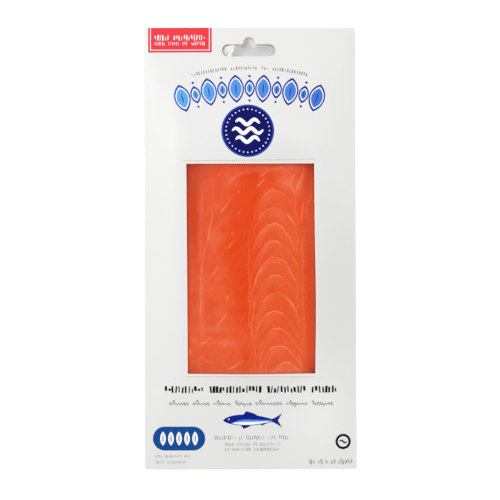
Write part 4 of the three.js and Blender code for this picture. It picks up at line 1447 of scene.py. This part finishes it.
film_x = np.concatenate([
    spaced(-FILM_HALF_WIDTH, -FISH_HALF_WIDTH, 2.5)[:-1],
    spaced(-FISH_HALF_WIDTH, -40, FILM_EDGE_PITCH)[:-1],
    spaced(-40, 40, FILM_PITCH),
    spaced(40, FISH_HALF_WIDTH, FILM_EDGE_PITCH)[1:],
    spaced(FISH_HALF_WIDTH, FILM_HALF_WIDTH, 2.5)[1:],
])
film_y = np.concatenate([
    spaced(FILM_FOOT, FISH_FOOT, 3)[:-1],
    spaced(FISH_FOOT, -78, FILM_EDGE_PITCH)[:-1],
    spaced(-78, 54, FILM_PITCH),
    spaced(54, FISH_HEAD, FILM_EDGE_PITCH)[1:],
    spaced(FISH_HEAD, FILM_HEAD, 3)[1:],
])
FX, FY = np.meshgrid(film_x, film_y)
film_share = block_share(FX, FY)
over_block = film_share * (film_share > LEAST_SHARE + 0.005)  # none past the block's outline
over_fish = (FLESH_TOP + dome(FX, FY)) * over_block
film_top = np.maximum(over_fish + FILM_GAP, FILM_MARGIN + 0.05 * mottle(FX, FY, 18, 41))
film_top += sum(crease(FX, FY, *each) for each in CREASES)
film_top += 0.04 * mottle(FX, FY, 9, 42) * (film_share > 0.9)
film_bottom = np.maximum((MID - FLESH_FOOT + FILM_GAP_BELOW) * over_block, FILM_MARGIN)
at_border = (FX == film_x[0]) | (FX == film_x[-1]) | (FY == film_y[0]) | (FY == film_y[-1])
film_grid = grid_faces(*FX.shape)
film = build(
    "clear_film",
    np.concatenate([
        np.stack([FX, FY, MID + np.where(at_border, 0, film_top)], axis=-1).reshape(-1, 3),
        np.stack([FX, FY, MID - np.where(at_border, 0, film_bottom)], axis=-1).reshape(-1, 3),
    ]),
    np.concatenate([film_grid, film_grid[:, ::-1] + FX.size]),
    [pouch_film],
)

# %% [markdown]
# ## The corner of film in the hang slot
#
# The pouch is longer than the fish, and one crumpled corner of it has slid up behind the slot. It is film
# folded over and over like a fan, so a look through it crosses several layers. Each bends and scatters
# light a little, and together they are milky, most where they stand steep. A painted brown shadow lies on
# its left end, where the slot's round edge shades it. A sheet of points with waves in it, thickened, gives
# the form.

# %% Crumpled film
SHADOW_RADIUS = 3.9  # the painted brown shadow reaches up to the round end of the slot, and a little inside it
SHADOW_END = (-14.2, -13.0)  # the x from which it thins out, and the x past which there is none


def milky_film():
    """Several layers of clear film: milky where the sheet is steep, with a painted brown shadow round the
    slot's left end.
    """
    material, tree, output = new_material("crumpled layers of clear film")
    facing = node(tree, "ShaderNodeLayerWeight", Blend=0.5).outputs["Facing"]
    milky = node(tree, "ShaderNodeMapRange", Value=facing, To_Min=0.7, To_Max=1.0)
    clear = node(tree, "ShaderNodeBsdfTransparent", Color=(0.96, 0.96, 0.96, 1))
    place = node(tree, "ShaderNodeTexCoord").outputs["Object"]
    round_end = SLOT_CENTRE - SLOT_LENGTH / 2 + SLOT_HEIGHT / 2, SLOT_FOOT + SLOT_HEIGHT / 2
    inward = soft_spot(tree, place, *round_end, SHADOW_RADIUS, SHADOW_RADIUS)
    shadowed = node(tree, "ShaderNodeMapRange", Value=inward, From_Min=0.08, From_Max=0.26)
    across = node(tree, "ShaderNodeSeparateXYZ", Vector=place).outputs["X"]
    past_shadow = node(tree, "ShaderNodeMapRange", Value=across,
                      From_Min=SHADOW_END[0] * MM, From_Max=SHADOW_END[1] * MM)
    unshadowed = node(tree, "ShaderNodeMath", {"operation": "MAXIMUM"},
                 _0=shadowed.outputs[0], _1=past_shadow.outputs[0])
    tint = node(tree, "ShaderNodeMix", {"data_type": "RGBA"}, _0=unshadowed.outputs[0],
                _6=linear("#8a5c3c"), _7=linear("#fbf8f2"))
    layers = node(tree, "ShaderNodeBsdfPrincipled", Base_Color=tint.outputs[2], Roughness=0.2, IOR=1.5,
                  Specular_IOR_Level=0.8)
    mixed = node(tree, "ShaderNodeMixShader",
                 _0=milky.outputs[0], _1=clear.outputs[0], _2=layers.outputs[0])
    tree.links.new(mixed.outputs[0], output.inputs["Surface"])
    return material


# %% Film in the slot
TAIL_LEFT, TAIL_FOOT, TAIL_HEAD = -18.5, 110.5, 125.0
TAIL_RIGHT_AT_FOOT, TAIL_RIGHT_AT_HEAD = -13.2, -6.8
TAIL_FILM = 0.12
TAIL_ROOM = 0.15  # left free above and below it
TAIL_COUNT = 81
tail_u, tail_v = np.meshgrid(np.linspace(0, 1, TAIL_COUNT), np.linspace(0, 1, TAIL_COUNT))
tail_right = TAIL_RIGHT_AT_FOOT + (TAIL_RIGHT_AT_HEAD - TAIL_RIGHT_AT_FOOT) * tail_v
tail_x = TAIL_LEFT + (tail_right - TAIL_LEFT) * tail_u
tail_y = TAIL_FOOT + (TAIL_HEAD - TAIL_FOOT) * tail_v
fold_phase = 2.6 * tail_u + 1.2 * tail_v + 0.4 * mottle(tail_x, tail_y, 6, 51)
fold = np.abs((fold_phase % 1) - 0.5) * 4 - 1
tail_room = half_thickness(tail_x, tail_y) - CARD - TAIL_FILM - TAIL_ROOM
tail_rise = np.clip(0.3 + 0.4 * fold + 0.16 * mottle(tail_x, tail_y, 2.6, 52), -1, 1)
tail_z = MID + tail_room * tail_rise
tail_low = np.stack([tail_x, tail_y, tail_z], axis=-1)
tail_high = tail_low + [0, 0, TAIL_FILM]
tail_faces = grid_faces(TAIL_COUNT, TAIL_COUNT)
tail_ring = border_ring(tail_x.shape)
tail = build(
    "film_corner",
    np.concatenate([tail_low.reshape(-1, 3), tail_high.reshape(-1, 3)]),
    np.concatenate([
        tail_faces[:, ::-1], tail_faces + tail_x.size, strip(tail_ring, tail_ring + tail_x.size),
    ]),
    [milky_film()],
    sharp_degrees=60,
)

# %% [markdown]
# ## Table and light
#
# The pack lies on a pale table that glows a little, as a studio's light table does, so that hardly any
# shadow is left round it. Under the pack, where hardly any light falls, the table has a grey painted shade,
# which glows slightly more, so the hang slot shows an even grey. Behind the left half of the slot's notch a
# painted shadow darkens it further. The table lies a hair below the pack, so that the flat of the pack's
# back and the table don't share a plane. A large soft light hangs near the pack's head on the left, two
# weaker ones past its ends, and the room adds the rest. The left slopes of the card come out brighter than
# the right ones, and that is what shows the pillow's form.

# %% Table
# The grey painted shade under the pack glows a little more than the open table, so that its grey is even.
TABLE_GLOW, SHADE_MASK_GLOW = 0.3, 0.36
SHADE_MASK, MASK_FADE = (54.0, 131.0), 4.0  # half the size of the grey painted shade under the pack, and how wide its edge fades
PAINTED_SHADOW_SPOT = (-3.6, 125.6, 3.6, 6.4)  # a painted shadow, darker still, behind the left half of the slot's notch


def table_material():
    """Glowing white acrylic, with grey painted shade where |x| and |y| are both within its half size, and a
    painted shadow spot.
    """
    material, tree, output = new_material("white acrylic light table")
    place = node(tree, "ShaderNodeTexCoord").outputs["Object"]
    parts = node(tree, "ShaderNodeSeparateXYZ", Vector=place)
    past = []
    for axis in (0, 1):
        away = node(tree, "ShaderNodeMath", {"operation": "ABSOLUTE"}, _0=parts.outputs[axis])
        edge = node(tree, "ShaderNodeMapRange", Value=away.outputs[0],
                    From_Min=(SHADE_MASK[axis] - MASK_FADE) * MM, From_Max=SHADE_MASK[axis] * MM)
        past.append(edge.outputs[0])
    open_table = node(tree, "ShaderNodeMath", {"operation": "MAXIMUM"}, _0=past[0], _1=past[1])
    glow = node(tree, "ShaderNodeMapRange", Value=open_table.outputs[0],
                To_Min=SHADE_MASK_GLOW, To_Max=TABLE_GLOW)
    painted_shadow = node(tree, "ShaderNodeMapRange", {"interpolation_type": "SMOOTHSTEP"},
                     Value=soft_spot(tree, place, *PAINTED_SHADOW_SPOT), From_Max=0.6, To_Min=1.0, To_Max=0.55)
    left_over = node(tree, "ShaderNodeMath", {"operation": "MULTIPLY"},
                     _0=glow.outputs[0], _1=painted_shadow.outputs[0])
    tone = node(tree, "ShaderNodeMix", {"data_type": "RGBA"}, _0=open_table.outputs[0],
                _6=linear("#a6a6aa"), _7=linear("#f9f9f9"))
    shader = node(tree, "ShaderNodeBsdfPrincipled", Base_Color=tone.outputs[2], Roughness=0.9,
                  Emission_Color=(1, 1, 1, 1), Emission_Strength=left_over.outputs[0])
    tree.links.new(shader.outputs[0], output.inputs["Surface"])
    return material


TABLE_HALF, TABLE_TOP = 3000.0, -0.05  # a hair below the pack, whose flat back would share its plane
table_mesh = bpy.data.meshes.new("table")
table_corners = [(x * TABLE_HALF * MM, y * TABLE_HALF * MM, TABLE_TOP * MM)
                 for x, y in ((-1, -1), (1, -1), (1, 1), (-1, 1))]
table_mesh.from_pydata(table_corners, [], [(0, 1, 2, 3)])
table_mesh.materials.append(table_material())
table = bpy.data.objects.new("table", table_mesh)
scene.collection.objects.link(table)

# %% Lights
ROOM_WALLS, ROOM_OVERHEAD = 0.775, 0.27


def soft_box(name, position, size, watts):
    """A square area light at a place in millimetres, turned to face the pack."""
    data = bpy.data.lights.new(name, "AREA")
    data.size = size * MM
    data.energy = watts
    lamp = bpy.data.objects.new(name, data)
    lamp.location = np.array(position) * MM
    toward = np.array(position, float)
    lamp.rotation_euler = (np.arctan2(np.hypot(toward[0], toward[1]), toward[2]), 0,
                           np.arctan2(toward[1], toward[0]) + np.pi / 2)
    scene.collection.objects.link(lamp)


soft_box("key", (-560, 420, 820), 500, 4.6)
soft_box("foot light", (700, -850, 650), 500, 2.8)
soft_box("head light", (250, 900, 700), 500, 1.8)

room = bpy.data.worlds.new("studio room")
room.use_nodes = True
toward = node(room.node_tree, "ShaderNodeTexCoord").outputs["Generated"]
upward = node(room.node_tree, "ShaderNodeSeparateXYZ", Vector=toward).outputs["Z"]
ceiling = node(room.node_tree, "ShaderNodeMapRange", {"interpolation_type": "SMOOTHSTEP"}, Value=upward,
               From_Min=0.8, From_Max=0.98, To_Min=ROOM_WALLS, To_Max=ROOM_OVERHEAD)
room.node_tree.links.new(ceiling.outputs[0], room.node_tree.nodes["Background"].inputs["Strength"])
room.node_tree.nodes["Background"].inputs["Color"].default_value = (1, 1, 1, 1)
scene.world = room
scene.view_settings.view_transform = "Standard"

# %% Hand the pieces to the frame
CARD_PIECES = [sleeve, rules, *head_print, *foot_print]
FISH_PIECES = [salmon, film, tail]
for piece in CARD_PIECES:
    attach(piece, "root")
    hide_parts("card_sleeve")
for piece in FISH_PIECES:
    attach(piece, "root")
    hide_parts("vacuum_pouch")
